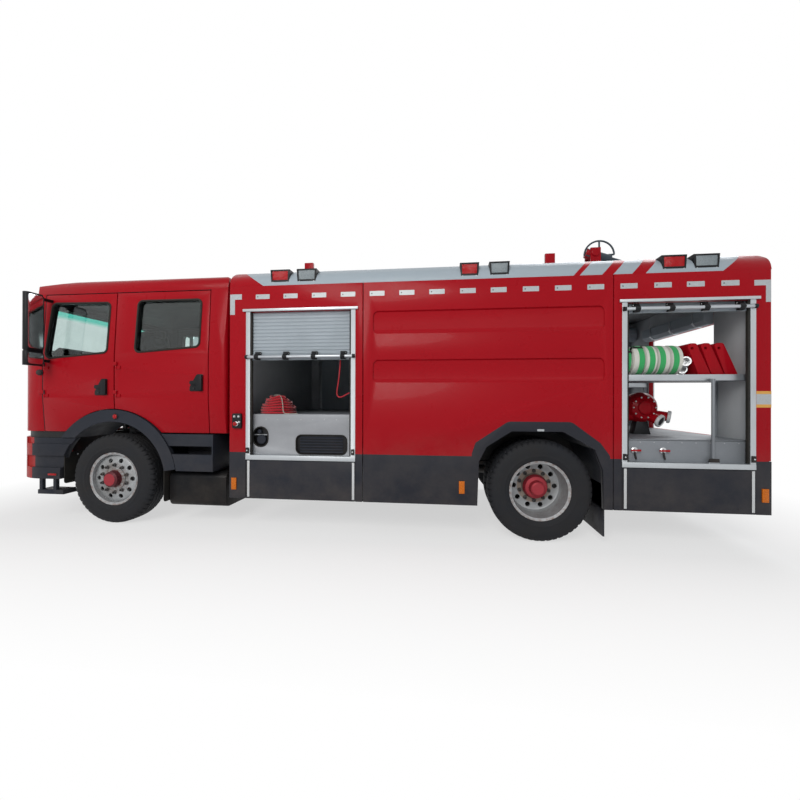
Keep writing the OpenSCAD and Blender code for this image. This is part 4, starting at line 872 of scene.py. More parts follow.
def make_front_panel(side):
    """Louvred vent and filler recess behind the holes of the front locker's lower panel."""
    y = PANEL_Y
    p = Piece("locker_panel", "chassis", 0.0012, side)
    p.box((-0.07, 0.54), (y - 0.06, y - 0.014), (0.81, 1.06), "black")
    for k in range(6):
        z = 0.858 + 0.03 * k
        louvre = [(y - 0.014, z), (y - 0.002, z - 0.006), (y - 0.002, z + 0.001), (y - 0.014, z + 0.014)]
        p.slab("x", louvre, 0.0, 0.47, "plastic")
    vent = [(-0.044, 0.835, 0.06), (0.514, 0.835, 0.06), (0.514, 1.041, 0.06), (-0.044, 1.041, 0.06)]
    for outline, r in ((rounded(vent, 6), 0.0055), (round_rect(0.829, 0.995, 0.909, 1.121, 0.08), 0.007)):
        p.tube([(u, y + 0.001, v) for u, v in outline], r, "rubber", 8, closed=True)
    p.box((0.81, 1.01), (y - 0.09, y - 0.045), (0.89, 1.14), "black")
    p.lathe([(0.052, -0.045), (0.052, -0.012), (0.044, -0.006)], (0.908, y, 0.985), LEFT, "plastic", 28)
    p.lathe([(0.024, -0.045), (0.024, -0.02), (0.018, -0.014)], (0.935, y, 1.07), LEFT, "plastic", 18)
    for k in range(9):
        p.lathe(PANEL_RIVET, (-0.06 + 0.13 * k, y + 0.0001, 1.205), LEFT, "steel", 8)
    p.done()


for side in HANDS:
    make_tapes(side)
    for which in LOCKERS:
        make_locker_trim(which, side)
        make_step_trim(which, side)
make_switch_box()
for side in HANDS:
    make_front_panel(side)

# hoses

ROLLS, ROLL_X, ROLL_PITCH, ROLL_W = 5, -2.793, 0.118, 0.105
ROLL_Y, ROLL_Z, ROLL_R = 1.01, 1.8183, 0.1498
TURNS, TURN_STEPS, WIND = 12, 44, 0.0088
BAND_W = 0.05
# front edge of the green band of each roll, behind the roll's front
BAND_AT = [0.045, 0.052, 0.03, 0.008, 0.012]
# section of a flat hose: share of half its width, and distance from its middle line
HOSE = ((-1, -0.0018), (-0.94, 0.0036), (0.94, 0.0036), (1, -0.0018), (0.94, -0.0036), (-0.94, -0.0036))


def on_roll(x, r, a):
    """Point of a roll at a radius and an angle."""
    return Vector((x, ROLL_Y + r * math.cos(a), ROLL_Z + r * math.sin(a)))


def wind_hose(p, i, middle):
    """Spiral of a flat hose, with slightly uneven edges."""
    rings = []
    for k in range(TURNS * TURN_STEPS + 1):
        turns = k / TURN_STEPS
        r = ROLL_R - 0.0045 - WIND * (TURNS - turns)
        x = middle + 0.0016 * math.sin(5.0 * turns + i)
        a = TURN * turns + 0.9 * i
        rings.append([on_roll(x + u * (ROLL_W / 2 - 0.004), r + out, a) for u, out in HOSE])
    p.rings(rings, "hose")


def wrap_band(p, edge):
    """Coloured band on the outer turn."""
    r, n = ROLL_R - 0.0008, 48
    section = ((edge, r), (edge, r + 0.0014), (edge - BAND_W, r + 0.0014), (edge - BAND_W, r))
    p.rings([[on_roll(x, q, TURN * k / n) for x, q in section] for k in range(n)], "green", closed=True)


def strap_roll(p, front, rear, a):
    """Strap through the middle and over the outside of a roll, at an angle."""
    across = Vector((0, -math.sin(a), math.cos(a))) * 0.014
    reach = ROLL_R + 0.001
    loop = [(front + 0.0015, 0.04), (front + 0.0015, reach), (rear - 0.0015, reach), (rear - 0.0015, 0.04)]
    for (xa, ra), (xb, rb) in zip(loop, loop[1:] + loop[:1]):
        lift = 0.0008 * (Vector((0, math.cos(a), math.sin(a))) if abs(xa - xb) > 0.01 else Vector(FRONT))
        corners = (-across - lift, across - lift, across + lift, lift - across)
        ends = on_roll(xa, ra, a), on_roll(xb, rb, a)
        p.rings([[q + corner for corner in corners] for q in ends], "rubber")


def make_rolls():
    """Flat hoses wound up on the rear shelf, each with a band and straps, and two coupling ends."""
    p = Piece("hose_rolls_wound", "chassis", smooth=40)
    for i in range(ROLLS):
        front = ROLL_X - i * ROLL_PITCH
        rear = front - ROLL_W
        wind_hose(p, i, (front + rear) / 2)
        wrap_band(p, front - BAND_AT[i])
        for a in (0.55, 2.7):
            strap_roll(p, front, rear, a + 0.4 * i)
    ring = [(0.72, -0.03), (1, -0.03), (1, -0.012), (0.86, -0.008), (0.86, 0.02), (0.97, 0.026)]
    ring += [(0.97, 0.036), (0.72, 0.036), (0.72, -0.03)]
    for at, r in (((-3.425, 1.07, 1.8), 0.048), ((-3.44, 0.985, 1.728), 0.045)):
        p.lathe([(r * share, t) for share, t in ring], at, (0.35, 1, 0.1), "steel", 28)
    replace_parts(p.done(), "hose_rolls")


make_rolls()

# cords

ROPE_D = 0.024
HEAP = Vector((0.815, 0.96, 1.2602))
HEAP_PITCH, HEAP_RISE = 0.0268, 0.0262
# widest and tightest turn of each layer of the heap, from the deck up
HEAP_LAYERS = [
    (0.184, 0.062), (0.186, 0.068), (0.180, 0.06), (0.168, 0.066),
    (0.148, 0.058), (0.122, 0.066), (0.092, 0.056),
]
PALE_CORD = [
    (0.880, 0.930, 1.466), (0.840, 0.955, 1.470), (0.800, 0.985, 1.470), (0.765, 1.020, 1.464),
    (0.738, 1.055, 1.440), (0.715, 1.087, 1.405), (0.698, 1.112, 1.366), (0.686, 1.132, 1.326),
    (0.676, 1.146, 1.292), (0.660, 1.155, 1.2710), (0.635, 1.158, 1.2654), (0.600, 1.154, 1.2652),
    (0.560, 1.144, 1.2652), (0.515, 1.138, 1.2652),
]
# from the inner side of the front shutter's lowest slat, in a slack bow, to the rear post
PULL_CORD = [
    (0.030, 1.180, 1.930), (0.032, 1.172, 1.880), (0.038, 1.165, 1.800), (0.048, 1.158, 1.700),
    (0.062, 1.152, 1.600), (0.075, 1.148, 1.530), (0.078, 1.147, 1.485), (0.066, 1.147, 1.455),
    (0.040, 1.149, 1.446), (0.005, 1.154, 1.456), (-0.035, 1.162, 1.478), (-0.085, 1.174, 1.500),
]


def smooth_path(points, steps=4):
    """A smooth line through the given points."""
    pts = [Vector(q) for q in points]
    pts = [2 * pts[0] - pts[1]] + pts + [2 * pts[-1] - pts[-2]]
    out = []
    for a, b, c, d in zip(pts, pts[1:], pts[2:], pts[3:]):
        for t in (k / steps for k in range(steps)):
            slope, bow, twist = c - a, 2 * a - 5 * b + 4 * c - d, 3 * b - a - 3 * c + d
            out.append(b + 0.5 * t * (slope + t * (bow + t * twist)))
    return out + [pts[-2]]


def lay_cord(name, line, diameter, look):
    p = Piece(name, "chassis", smooth=60)
    p.tube(line, diameter / 2, look, 10)
    p.done()


def heap_line():
    """Uneven turns in layers, each smaller than the one below, wound outwards and inwards by turns."""
    line, start = [], 0.0
    for k, (wide, tight) in enumerate(HEAP_LAYERS):
        turns = (wide - tight) / HEAP_PITCH
        steps = int(turns * 30)
        for share in (i / steps for i in range(steps + 1)):
            r = tight + (wide - tight) * (share if k % 2 == 0 else 1 - share)
            a = start + TURN * turns * share
            loose = 0.03 * (r - 0.056) / 0.12
            r *= 1.0 + 0.05 * math.sin(2 * a + 0.6) + loose * math.sin(5 * a + 1.1)
            lift = 1.08 + 0.08 * math.sin(3 * a + 1.3)
            z = ROPE_D / 2 + 0.0005 + k * HEAP_RISE * lift
            line.append(HEAP + Vector((r * math.cos(a), r * math.sin(a), z)))
        start += TURN * turns + 0.45
    return line


def make_cord_eyes():
    """Clips at both ends of the shutter's pull cord."""
    p = Piece("pull_cord_eyes", "chassis", 0.001)
    for x, y, z in (PULL_CORD[0], PULL_CORD[-1]):
        p.plate("y", (x - 0.02, x + 0.02), (z - 0.012, z + 0.026), 0.008, (y - 0.004, y + 0.008), "black")
        p.stud((0.006, 0.004, 0.003, 0.006), (x, y + 0.008, z + 0.014), LEFT, "steel", 10)
    p.done()


lay_cord("rope_coil", heap_line(), ROPE_D, "rope")
lay_cord("pale_cord", smooth_path(PALE_CORD, 2), 0.009, "cord")
lay_cord("pull_cord", smooth_path(PULL_CORD, 3), 0.014, "rope")
make_cord_eyes()

# pump bay

OUTLET_X, OUTLET_Z = -3.334, 1.24
VALVE_X = -3.12
# middle of the pump, and of the round casing beside it
PUMP_X, PUMP_Z, PUMP_BOLT_RING = -2.948, 1.3, 0.165
CASING_AT, CASING_BOLT_RING = (-3.27, 0.50, 1.34), 0.115
COUPLING = [
    (0.0485, 0.0), (0.066, 0.0), (0.07, 0.006), (0.07, 0.022), (0.066, 0.03), (0.058, 0.034), (0.0485, 0.034),
    (0.0485, 0.0),
]
BLIND_CAP = [(0.034, -0.002), (0.046, 0.0), (0.046, 0.004), (0.036, 0.006), (0.0, 0.006)]
GAUGE = [(0.06, 0.0), (0.06, 0.03), (0.054, 0.036), (0.05, 0.033), (0.0, 0.033)]
CASING = [
    (0.05, -0.13), (0.13, -0.11), (0.168, -0.05), (0.172, 0.0), (0.168, 0.05), (0.13, 0.11), (0.075, 0.126),
    (0.075, 0.15), (0.04, 0.156),
]
BEND = [
    (-3.118, 0.391, 1.24), (-3.118, 0.45, 1.24), (-3.16, 0.51, 1.25),
    (-3.23, 0.53, 1.28), (-3.30, 0.53, 1.31),
]
BRANCHES = (((-3.33, 0.54, 1.25), (-3.40, 0.64, 1.20)), ((-3.36, 0.50, 1.27), (-3.52, 0.58, 1.24)))


def make_pump_fittings():
    """Coupling rings and blind caps of the outlets, valve levers, gauges and bolts."""
    p = Piece("pump_fittings", "chassis", 0.001)
    for y in (-0.33, -0.11, 0.11, 0.33):
        p.lathe(COUPLING, (OUTLET_X, y, OUTLET_Z), BACK, "white", 40)
        p.lathe(BLIND_CAP, (OUTLET_X - 0.0342, y, OUTLET_Z), BACK, "black", 32)
        for lug in (y + 0.066, y - 0.066):
            p.box((-3.352, -3.338), (lug - 0.012, lug + 0.012), (1.234, 1.246), "steel")
        p.stud((0.016, 0.05, 0.012, 0.055), (VALVE_X, y, 1.305), UP, "steel", 18)
        lever = [(VALVE_X, y, 1.352), (-3.16, y, 1.368), (-3.24, y, 1.372), (-3.3, y, 1.36)]
        p.tube(lever, [0.008, 0.008, 0.007, 0.01], "lens_red")
    for y in (-0.12, 0.12):
        at, tilted = (-3.115, y, 1.47), (-1, 0, 0.25)
        p.lathe(GAUGE, at, tilted, "steel", 36)
        p.lathe([(0.049, 0.0335), (0.0, 0.0335)], at, tilted, "white", 30)
    for side in HANDS:
        for x, z in around(8, PUMP_BOLT_RING, PUMP_X, PUMP_Z):
            p.stud((0.012, 0.008, 0.008, 0.012), (x, side * 0.24, z), (0, side, 0), "steel", 6)
    p.done()


def make_pump_branch():
    """Bend from the pump's manifold to a round casing with two outlets towards the left locker."""
    p = Piece("pump_branch", "chassis", 0.0015, smooth=40)
    p.tube(smooth_path(BEND), 0.064, "red", 24)
    flange = [(0.066, 0.0), (0.094, 0.0), (0.094, 0.016), (0.066, 0.016), (0.066, 0.0)]
    p.lathe(flange, BEND[0], LEFT, "red", 32)
    p.lathe(CASING, CASING_AT, LEFT, "red", 44)
    for x, z in around(10, CASING_BOLT_RING, CASING_AT[0], CASING_AT[2]):
        p.stud((0.011, 0.009, 0.007, 0.013), (x, 0.613, z), LEFT, "steel", 6)
    p.slab("y", [(-3.36, 1.0405), (-3.18, 1.0405), (-3.22, 1.2), (-3.32, 1.2)], 0.44, 0.56, "iron")
    for start, end in BRANCHES:
        out = (Vector(end) - Vector(start)).normalized()
        p.tube([start, end], 0.052, "red", 24)
        p.lathe(COUPLING, end, out, "white", 36)
        p.lathe([(0.034, 0.02), (0.047, 0.022), (0.047, 0.028), (0.0, 0.028)], end, out, "black", 28)
    p.done()


def make_rear_shutter_box():
    """Cover of the rolled-up rear shutter, inside above the doorway, with three bands."""
    p = Piece("rear_shutter_box", "chassis", 0.003)
    wall, half = -3.9395, 0.66
    cover = [(wall, 2.245), (-3.885, 2.245), (-3.845, 2.285), (-3.845, 2.40), (wall, 2.40)]
    band = [(wall, 2.238), (-3.88, 2.238), (-3.838, 2.282), (-3.838, 2.405), (wall, 2.405)]
    p.slab("y", cover, -half, half, "slat")
    for y in (-0.45, 0.0, 0.45):
        p.slab("y", band, y, y + 0.03, "alu")
    p.done()


def make_rear_panel(side):
    """Drain taps and rivets on the rear locker's lower panel."""
    p = Piece("drain_taps", "chassis", 0.0008, side)
    y, z = PANEL_Y, 0.935
    for x in (-2.9, -3.16):
        p.lathe([(0.03, 0.0), (0.03, 0.006), (0.016, 0.01), (0.016, 0.03)], (x, y, z), LEFT, "steel", 24)
        p.tube([(x - 0.045, y + 0.032, z), (x + 0.045, y + 0.032, z)], [0.011, 0.0085], "lens_red")
        p.tube([(x, y + 0.012, 0.92), (x, y + 0.02, 0.885), (x - 0.008, y + 0.02, 0.85)], 0.009, "black")
    for k in range(9):
        p.lathe(PANEL_RIVET, (-2.83 - 0.125 * k, y + 0.0001, 1.012), LEFT, "steel", 8)
    p.done()


def make_shelf_stay(side):
    """Tube between the sill and the front of the rear shelf, with a foot and a clamp."""
    p = Piece("shelf_stay", "chassis", 0.001, side)
    x, y = -3.592, 1.2125
    p.tube([(x, y, 0.8256), (x, y, 1.622)], 0.0155, "sheet", 16)
    p.plate("z", (x - 0.05, x + 0.05), (y - 0.021, y + 0.024), 0.01, (0.8255, 0.833), "alu")
    p.slab("x", [(y, 0.832), (y + 0.02, 0.832), (y + 0.016, 0.87)], x - 0.045, x + 0.045, "black")
    p.box((x - 0.02, x + 0.02), (PANEL_Y + 0.0003, y), (1.59, 1.624), "sheet")
    p.done()


def make_rear_corner(side):
    """Corner profile between the body side and the rear face, with a row of screws."""
    p = Piece("rear_corner", "chassis", 0.002, side)
    front, rear, inner, skin = -4.0003, -4.0625, 1.192, SKIN - 0.0001
    outline = [(front, inner, 0.0), (front, skin, 0.0), (rear, skin, 0.005), (rear, inner, 0.005)]
    p.slab("z", rounded(outline), 0.858, 2.631, "red")
    for k in range(10):
        p.lathe(SIDE_SCREW, (rear - 0.0002, 1.21, 0.93 + 0.18 * k), BACK, "steel", 8)
    p.done()


make_pump_fittings()
make_pump_branch()
make_rear_shutter_box()
for side in HANDS:
    make_rear_panel(side)
    make_shelf_stay(side)
    make_rear_corner(side)

# cab

WINDOWS = {
    "front": [(3.467, 2.530, 0.05), (2.736, 2.520, 0.05), (2.751, 1.953, 0.05), (3.532, 1.892, 0.06)],
    "rear": [(2.379, 2.530, 0.05), (1.622, 2.528, 0.05), (1.631, 2.006, 0.05), (2.398, 1.949, 0.05)],
}
# windscreen opening: half width, lower and upper edge
SCREEN_HALF, SCREEN_LOW, SCREEN_HIGH = 1.08, 1.935, 2.56
# mirror heads: glass across, lower and upper edge of the main and the wide-angle glass, and their plane
GLASS_Y, GLASS_Z, GLASS_X = (1.313, 1.477), ((1.978, 2.572), (1.806, 1.929)), 3.4265
TURN_LAMP_X, TURN_LAMP_Z = 3.6, 1.727
ARCH_LAMP = (2.634, 1.2002, 1.222)
# bumper corner in plan: middle and radius of the black filler behind its skin, a dark piece that stands in
# for the shade in the gap under the cab
CORNER_X, CORNER_Y, CORNER_R = 3.605, 0.735, 0.43
GAP_SHADE_T, GAP_SHADE_LOW, GAP_SHADE_HIGH = 0.085, 0.9705, 1.041
FLAP_BOLT = (0.012, 0.004, 0.008, 0.006)


def spread(points, step):
    """Closed outline with points not further apart than step."""
    out = []
    for a, b in zip(points, points[1:] + points[:1]):
        a, b = Vector(a), Vector(b)
        n = max(1, int((b - a).length / step))
        out += [a.lerp(b, k / n) for k in range(n)]
    return out


def grown(points, by):
    """Closed outline moved outwards."""
    centre = sum(points, Vector((0.0, 0.0))) / len(points)
    out = []
    for i, p in enumerate(points):
        along = (points[(i + 1) % len(points)] - points[i - 1]).normalized()
        away = Vector((along.y, -along.x))
        if away.dot(p - centre) < 0:
            away = -away
        out.append(p + away * by)
    return out


def make_window_seal(which, side):
    """Rubber profile round a side window."""
    p = Piece("window_seal_" + which, door_body(which, side), side=side, smooth=50)
    line = spread(rounded(WINDOWS[which], 6), 0.05)
    path = []
    for near, far in zip(grown(line, 0.004), grown(line, 0.016)):
        skin = skin_y("door_%s_left" % which, far.x, far.y) or 1.19
        path.append((near.x, skin - 0.002, near.y))
    p.tube(path, 0.0125, "rubber", 8, closed=True)
    p.done()


def make_handle(which, side):
    """Black bowl with a slanted front edge under the grip, and the lock."""
    x, z = HANDLES[which]
    p = Piece("handle_" + which, door_body(which, side), 0.0025, side)
    bowl = [(-0.079, -0.094, 0.014), (0.079, -0.094, 0.014), (0.079, -0.05, 0.02), (-0.004, 0.094, 0.03)]
    bowl += [(-0.079, 0.094, 0.014)]
    grip = [(-0.078, -0.085, 0.01), (-0.02, -0.085, 0.012), (-0.02, 0.085, 0.02), (-0.078, 0.085, 0.01)]
    for outline, low, high in ((bowl, 1.2079, 1.2112), (grip, 1.2105, 1.237)):
        p.slab("y", rounded([(x + u, z + v, r) for u, v, r in outline]), low, high, "black")
    lock = [(0.012, 0.0), (0.012, 0.004), (0.009, 0.006), (0.0, 0.006)]
    p.lathe(lock, (x + 0.03, 1.2112, z - 0.065), LEFT, "iron", 20)
    p.done()


def make_mirror_glass(side):
    """Main and wide-angle glass in the mirror heads, the bridge between them and the stay's clamps."""
    p = Piece("mirror_glass", door_body("front", side), 0.001, side)
    inner, outer = GLASS_Y
    for low, high in GLASS_Z:
        p.plate("x", GLASS_Y, (low, high), 0.03, (GLASS_X, GLASS_X + 0.0037), "mirror")
        rim = round_rect(inner - 0.004, outer + 0.004, low - 0.004, high + 0.004, 0.032)
        p.tube([(GLASS_X + 0.0015, u, v) for u, v in rim], 0.0055, "black", 8, closed=True)
    p.plate("x", (inner - 0.002, outer + 0.002), (1.925, 1.985), 0.01, (3.437, 3.484), "black")
    for z in (1.86, 2.555):
        clamp = [(0.026, -0.02), (0.03, -0.014), (0.03, 0.014), (0.026, 0.02)]
        p.lathe(clamp, (3.487, 1.3, z), LEFT, "black", 18)
    p.done()


def front_x(name, y, z):
    """x of the foremost skin of a node at y and z."""
    hit, at, _, _ = nodes[name].ray_cast(Vector((6.0, y, z)), Vector(BACK))
    return at.x if hit else None


def on_screen(y, z, off):
    """Point before the windscreen, off its face."""
    return ((front_x("windscreen", y, z) or 3.9) + off, y, z)


def make_windscreen_trim():
    """Rubber profile and wipers of the windscreen."""
    p = Piece("windscreen_trim", "cab", smooth=50)
    half, low, high = SCREEN_HALF, SCREEN_LOW, SCREEN_HIGH
    path = []
    for y, z in spread([(-half, low), (half, low), (half, high), (-half, high)], 0.06):
        beside = y + (math.copysign(0.012, y) if abs(y) > half - 0.01 else 0.0)
        beyond = z + (0.012 if z > high - 0.06 else -0.012 if z < low + 0.015 else 0.0)
        x = front_x("cab_front", beside, beyond)
        if x is not None:
            path.append((x - 0.002, y, z))
    p.tube(path, 0.014, "rubber", 8, closed=True)
    for y0, y1 in ((0.78, 0.06), (0.0, -0.74)):
        pivot = on_screen(y0, 1.975, 0.03)
        p.lathe([(0.02, -0.03), (0.02, 0.0), (0.012, 0.01)], pivot, FRONT, "black", 16)
        arm = [pivot, on_screen(y0 * 0.7 + y1 * 0.3, 2.03, 0.04), on_screen((y0 + y1) / 2, 2.035, 0.028)]
        p.tube(arm, [0.011, 0.008, 0.006], "black", 8)
        p.tube([on_screen(y0 + (y1 - y0) * k / 8, 2.035, 0.016) for k in range(9)], 0.0085, "rubber", 8)
    p.done()


def make_turn_lamp(side):
    """Oval turn lamp with a smoked lens."""
    p = Piece("turn_lamp", "cab", 0.002, side)
    y = (skin_y("cab_front", TURN_LAMP_X, TURN_LAMP_Z) or 1.2) - 0.003
    base, glass = (0.046, 0.034, 0.0, 0.012, "black"), (0.036, 0.025, 0.011, 0.018, "lens_dark")
    for wide, tall, low, high, look in (base, glass):
        oval = around(32, wide, TURN_LAMP_X, TURN_LAMP_Z, flat=tall / wide)
        p.slab("y", oval, y + low, y + high, look)
    p.done()


def make_side_lamps(side):
    """Round lamp on the wheel arch and reflector on the bumper."""
    p = Piece("side_lamps", "chassis", 0.0015, side)
    p.stud((0.034, 0.006, 0.028, 0.009), ARCH_LAMP, LEFT, "black", 28)
    p.lathe([(0.026, 0.006), (0.025, 0.014), (0.014, 0.02), (0.0, 0.021)], ARCH_LAMP, LEFT, "lens_red", 28)
    p.plate("y", (3.37, 3.49), (0.533, 0.565), 0.01, (1.2002, 1.207), "black")
    p.plate("y", (3.376, 3.484), (0.538, 0.56), 0.008, (1.206, 1.21), "lens_red")
    p.done()


def make_hood():
    """Instrument hood on the dashboard before the steering wheel."""
    p = Piece("instrument_hood", "cab", 0.006)
    hood = [(3.690, 1.840, 0.0), (3.672, 2.030, 0.02), (3.740, 2.072, 0.04), (3.880, 1.985, 0.05)]
    hood += [(3.900, 1.840, 0.0)]
    p.slab("y", rounded(hood), 0.28, 0.84, "black")
    dial = [(0.06, 0.0), (0.06, 0.006), (0.052, 0.01), (0.05, 0.004), (0.0, 0.004)]
    for y in (0.44, 0.66):
        p.lathe(dial, (3.682, y, 1.93), (-1, 0, 0.1), "trim", 28)
    p.done()


def make_bumper_gap_shade_and_flaps(side):
    """Black filler on the bumper under the cab's lower edge, a dark piece that stands in for the shade in the
    gap there, and rubber flaps at the wheel.
    """
    p = Piece("bumper_gap_shade_and_flaps", "chassis", side=side)
    inner = CORNER_R - GAP_SHADE_T
    section = ((CORNER_R, GAP_SHADE_LOW), (CORNER_R, GAP_SHADE_HIGH), (inner, GAP_SHADE_HIGH), (inner, GAP_SHADE_LOW))
    plan = [(3.305, 0.0)] + [(CORNER_X, math.radians(4.7 * k)) for k in range(11)]
    rings = []
    for x, a in plan:
        rings.append([(x + r * math.sin(a), CORNER_Y + r * math.cos(a), z) for r, z in section])
    # the black filler: painted shade in the gap under the cab
    p.rings(rings, "black")
    p.plate("x", (0.62, 1.178), (0.44, 0.80), 0.03, (3.2995, 3.3075), "rubber")
    p.plate("x", (0.62, 1.185), (0.27, 0.66), 0.03, (2.046, 2.054), "rubber")
    for y in (0.7, 0.86, 1.02, 1.14):
        p.stud(FLAP_BOLT, (3.2995, y, 0.77), BACK, "steel", 12)
        p.stud(FLAP_BOLT, (2.054, y, 0.63), FRONT, "steel", 12)
    p.done()


for side in HANDS:
    make_mirror_glass(side)
    for which in WINDOWS:
        make_window_seal(which, side)
        make_handle(which, side)
make_windscreen_trim()
for side in HANDS:
    make_turn_lamp(side)
    make_side_lamps(side)
make_hood()
for side in HANDS:
    make_bumper_gap_shade_and_flaps(side)

# seats

SEAT_Z, BACK_Z, HEAD_Z = 1.668, 2.0, 2.265
BACK_TILT = math.radians(-98)
DRIVER_Y, BENCH_PITCH = 0.56, 0.655
CUSHION_CUTS, CUSHION_POWER = 18, 5.0
TUFT_DEPTH, TUFT_AT, TUFT_W = 0.006, 0.52, 0.07


def cushion(name, centre, size, tilt=0.0, crown=0.02):
    """A crowned cushion with soft corners and two tufted lines. size is before the tilt about Y."""
    half = [d / 2 for d in size]
    turn = Matrix.Translation(Vector(centre)) @ Matrix.Rotation(tilt, 4, "Y")
    shape = bmesh.new()
    bmesh.ops.create_cube(shape, size=2.0)
    bmesh.ops.subdivide_edges(shape, edges=shape.edges[:], cuts=CUSHION_CUTS, use_grid_fill=True)
    for v in shape.verts:
        q = v.co / sum(abs(c) ** CUSHION_POWER for c in v.co) ** (1 / CUSHION_POWER)
        soft = crown * max(0.0, 1 - q.x**2) * max(0.0, 1 - q.y**2)
        tuft = TUFT_DEPTH * math.exp(-(((abs(q.y) - TUFT_AT) / TUFT_W) ** 2))
        z = q.z * half[2] + math.copysign(soft - tuft, q.z) * (abs(q.z) > 0.5)
        v.co = turn @ Vector((q.x * half[0], q.y * half[1], z))
    o = add_object(name, shape, ["fabric"])
    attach(o, "cab")


def make_seats():
    base = Piece("seat_frames", "cab", 0.004)
    for side, hand in HANDS.items():
        y = DRIVER_Y * side
        cushion("seat_front_" + hand, (3.01, y, SEAT_Z), (0.5, 0.49, 0.115))
        cushion("back_front_" + hand, (2.70, y, BACK_Z), (0.56, 0.48, 0.11), BACK_TILT)
        cushion("head_front_" + hand, (2.642, y, HEAD_Z), (0.1, 0.27, 0.09), BACK_TILT, 0.008)
        base.box((2.80, 3.22), (y - 0.2, y + 0.2), (1.381, 1.61), "trim")
        base.box((2.68, 2.80), (y - 0.19, y + 0.19), (1.56, 1.64), "trim")
    for k in (-1, 0, 1):
        y = BENCH_PITCH * k
        cushion("seat_rear_%d" % (k + 2), (1.83, y, SEAT_Z), (0.48, 0.64, 0.115))
        cushion("back_rear_%d" % (k + 2), (1.50, y, BACK_Z), (0.56, 0.64, 0.11), BACK_TILT)
    base.box((1.60, 2.04), (-0.94, 0.94), (1.381, 1.61), "trim")
    base.box((1.49, 1.62), (-0.95, 0.95), (1.56, 1.64), "trim")
    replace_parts(base.done(), "seats")


make_seats()

# roof

# front and rear end of each roof lamp on one side
BEACONS = [
    (0.772, 0.577), (0.482, 0.284), (-1.227, -1.400), (-1.518, -1.699), (-3.128, -3.334), (-3.411, -3.621),
]
BEACON_BACK, BEACON_FACE = 1.125, 1.2455
# outline of a lamp's housing: how far beyond the lamp's end, and the height, outside and inside
HOUSING_OUT, HOUSING_IN = ((0.010, 2.801), (-0.002, 2.652)), ((-0.010, 2.785), (-0.014, 2.690))
FLANGE_Z, FLANGE_RING, FLANGE_BOLTS = 2.9352, 0.1, 8


def make_monitor_bolts():
    """Bolts on the monitor's flange and covers of its tilt axis."""
    p = Piece("monitor_bolts", "turret", 0.0008)
    phase = math.pi / FLANGE_BOLTS
    for k, (x, y) in enumerate(around(FLANGE_BOLTS, FLANGE_RING, MONITOR_X, 0.0, phase)):
        head = around(6, 0.011, x, y, phase + TURN * k / FLANGE_BOLTS)
        p.slab("z", head, FLANGE_Z, FLANGE_Z + 0.0108, "steel")
        p.lathe([(0.014, 0.0), (0.014, 0.002)], (x, y, FLANGE_Z - 0.0001), UP, "steel", 14)
    cover = [(0.052, 0.0), (0.052, 0.008), (0.045, 0.012), (0.034, 0.012)]
    for side in HANDS:
        p.lathe(cover, (MONITOR_X, side * 0.1103, TILT_Z), (0, side, 0), "red", 28)
    p.done()


def make_monitor_grips():
    """Two rubber grips on the guard bow."""
    p = Piece("monitor_grips", "barrel", 0.0008)
    for first, last in ((62, 84), (96, 118)):
        turns = [math.radians(first + (last - first) * k / 8) for k in range(9)]
        path = [(BOW_X + BOW_R * math.cos(a), 0.0, TILT_Z + BOW_R * math.sin(a)) for a in turns]
        p.tube(path, [0.009] + [0.0108] * 7 + [0.009], "rubber", 12)
    p.done()


def make_roof_screws(side):
    """Screws along the foot of the roof edge."""
    p = Piece("roof_screws", "chassis", side=side)
    for k in range(26):
        p.lathe(SIDE_SCREW, (1.12 - k * 0.2, SKIN + 0.0001, 2.6), LEFT, "red", 10)
    p.done()


def lamp_corners(front, rear, high, low):
    """Upper front, upper rear, lower rear and lower front corner of an outline round a roof lamp."""
    (up, up_z), (down, down_z) = high, low
    return [(front + up, up_z), (rear - up, up_z), (rear - down, down_z), (front + down, down_z)]


def make_beacon_housings(side):
    """Black housing round each roof lamp, with a broad foot."""
    p = Piece("beacon_housings", "chassis", 0.0015, side)
    back, face = BEACON_BACK, BEACON_FACE
    for front, rear in BEACONS:
        outer, inner = (lamp_corners(front, rear, *pair) for pair in (HOUSING_OUT, HOUSING_IN))
        rings = []
        for (ox, oz), (ix, iz) in zip(outer, inner):
            rings.append([(ox, face, oz), (ox, back, oz), (ix, back, iz), (ix, face, iz)])
        p.rings(rings, "black", closed=True)
        for x in (front - 0.02, rear + 0.02):
            p.stud((0.005, 0.002, 0.003, 0.003), (x, face, 2.668), LEFT, "steel", 10)
    p.done()


make_monitor_bolts()
make_monitor_grips()
for side in HANDS:
    make_roof_screws(side)
for side in HANDS:
    make_beacon_housings(side)

# stage

FLOOR_R, FLOOR_SIDES = 60.0, 64
# half length and half width of the ground that keeps the most of the shadow
SHADOW_X, SHADOW_Y = 4.0, 1.2


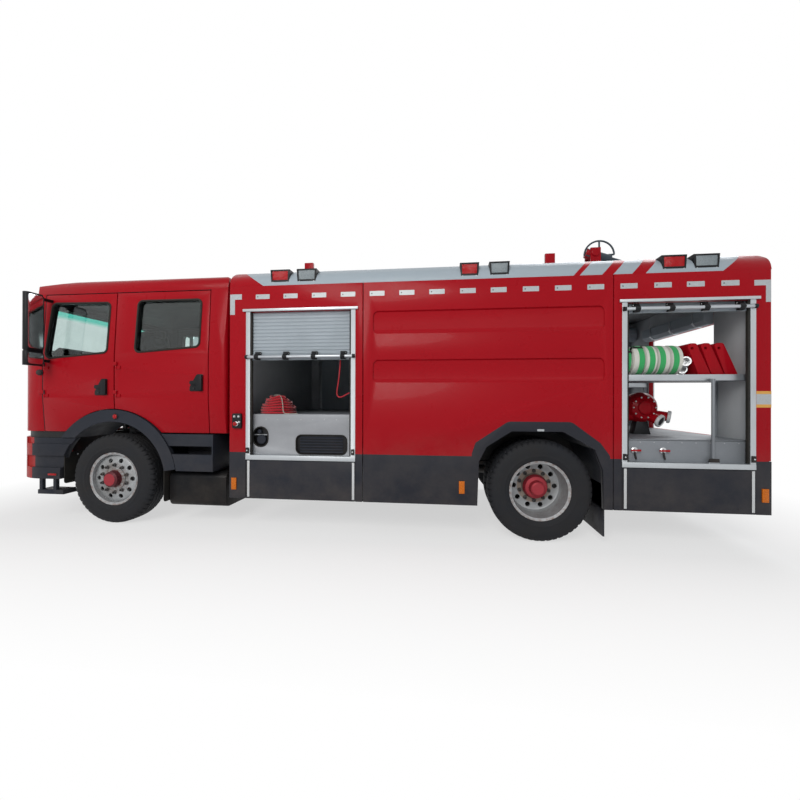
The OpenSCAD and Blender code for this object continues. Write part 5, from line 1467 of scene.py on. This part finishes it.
def make_floor():
    """Pale floor that keeps the shadow near the object and goes over to white further out."""
    mesh = bpy.data.meshes.new("floor")
    verts = [(0.0, 0.0, 0.0)] + [(x, y, 0.0) for x, y in around(FLOOR_SIDES, FLOOR_R)]
    mesh.from_pydata(verts, [], [(0, i + 1, (i + 1) % FLOOR_SIDES + 1) for i in range(FLOOR_SIDES)])
    floor = bpy.data.objects.new("floor", mesh)
    scene.collection.objects.link(floor)
    s = Shader("pale_floor", Roughness=0.9)
    s.feed("Base Color", s.mix(s.noise(1.5), (0.86, 0.86, 0.86, 1.0), (0.9, 0.9, 0.9, 1.0)))
    x, y, _ = s.axes()
    beyond_x = s.math("SUBTRACT", s.math("ABSOLUTE", x), SHADOW_X)
    beyond_y = s.math("SUBTRACT", s.math("ABSOLUTE", y), SHADOW_Y)
    reach = s.math("MAXIMUM", beyond_x, beyond_y)
    share = s.math("MULTIPLY", s.seen(), s.span(reach, 0.2, 2.2, 0.6, 1.0))
    glow = s.made("ShaderNodeEmission")[0]
    out = next(n for n in s.tree.nodes if n.type == "OUTPUT_MATERIAL")
    s.plug(out.inputs["Surface"], s.blend(share, s.bsdf.outputs[0], glow))
    mesh.materials.append(s.mat)


def make_world(level):
    """Even light from all round, and a white backdrop."""
    scene.world = bpy.data.worlds.new("studio")
    scene.world.use_nodes = True
    w = Nodes(scene.world.node_tree)
    w.tree.nodes.clear()
    light = w.made("ShaderNodeBackground", {0: (0.93, 0.96, 1.0, 1.0), 1: level})[0]
    backdrop = w.made("ShaderNodeBackground", {0: (1.0, 1.0, 1.0, 1.0), 1: 1.0})[0]
    w.made("ShaderNodeOutputWorld", {0: w.blend(w.seen(), light, backdrop)})


def make_light(name, at, size, watts, colour):
    """Soft round lamp that looks at the middle of the vehicle."""
    data = bpy.data.lights.new(name, "AREA")
    data.shape, data.size, data.energy, data.color = "DISK", size, watts, colour
    lamp = bpy.data.objects.new(name, data)
    lamp.location = at
    lamp.rotation_euler = (Vector((0.0, 0.0, 1.2)) - Vector(at)).to_track_quat("-Z", "Y").to_euler()
    scene.collection.objects.link(lamp)


make_floor()
make_world(0.3)
make_light("key", (2.0, 12.0, 7.5), 7.0, 880.0, (1.0, 0.98, 0.95))
make_light("fill", (-7.0, -8.0, 9.0), 8.0, 480.0, (0.95, 0.97, 1.0))
scene.view_settings.view_transform = "Standard"
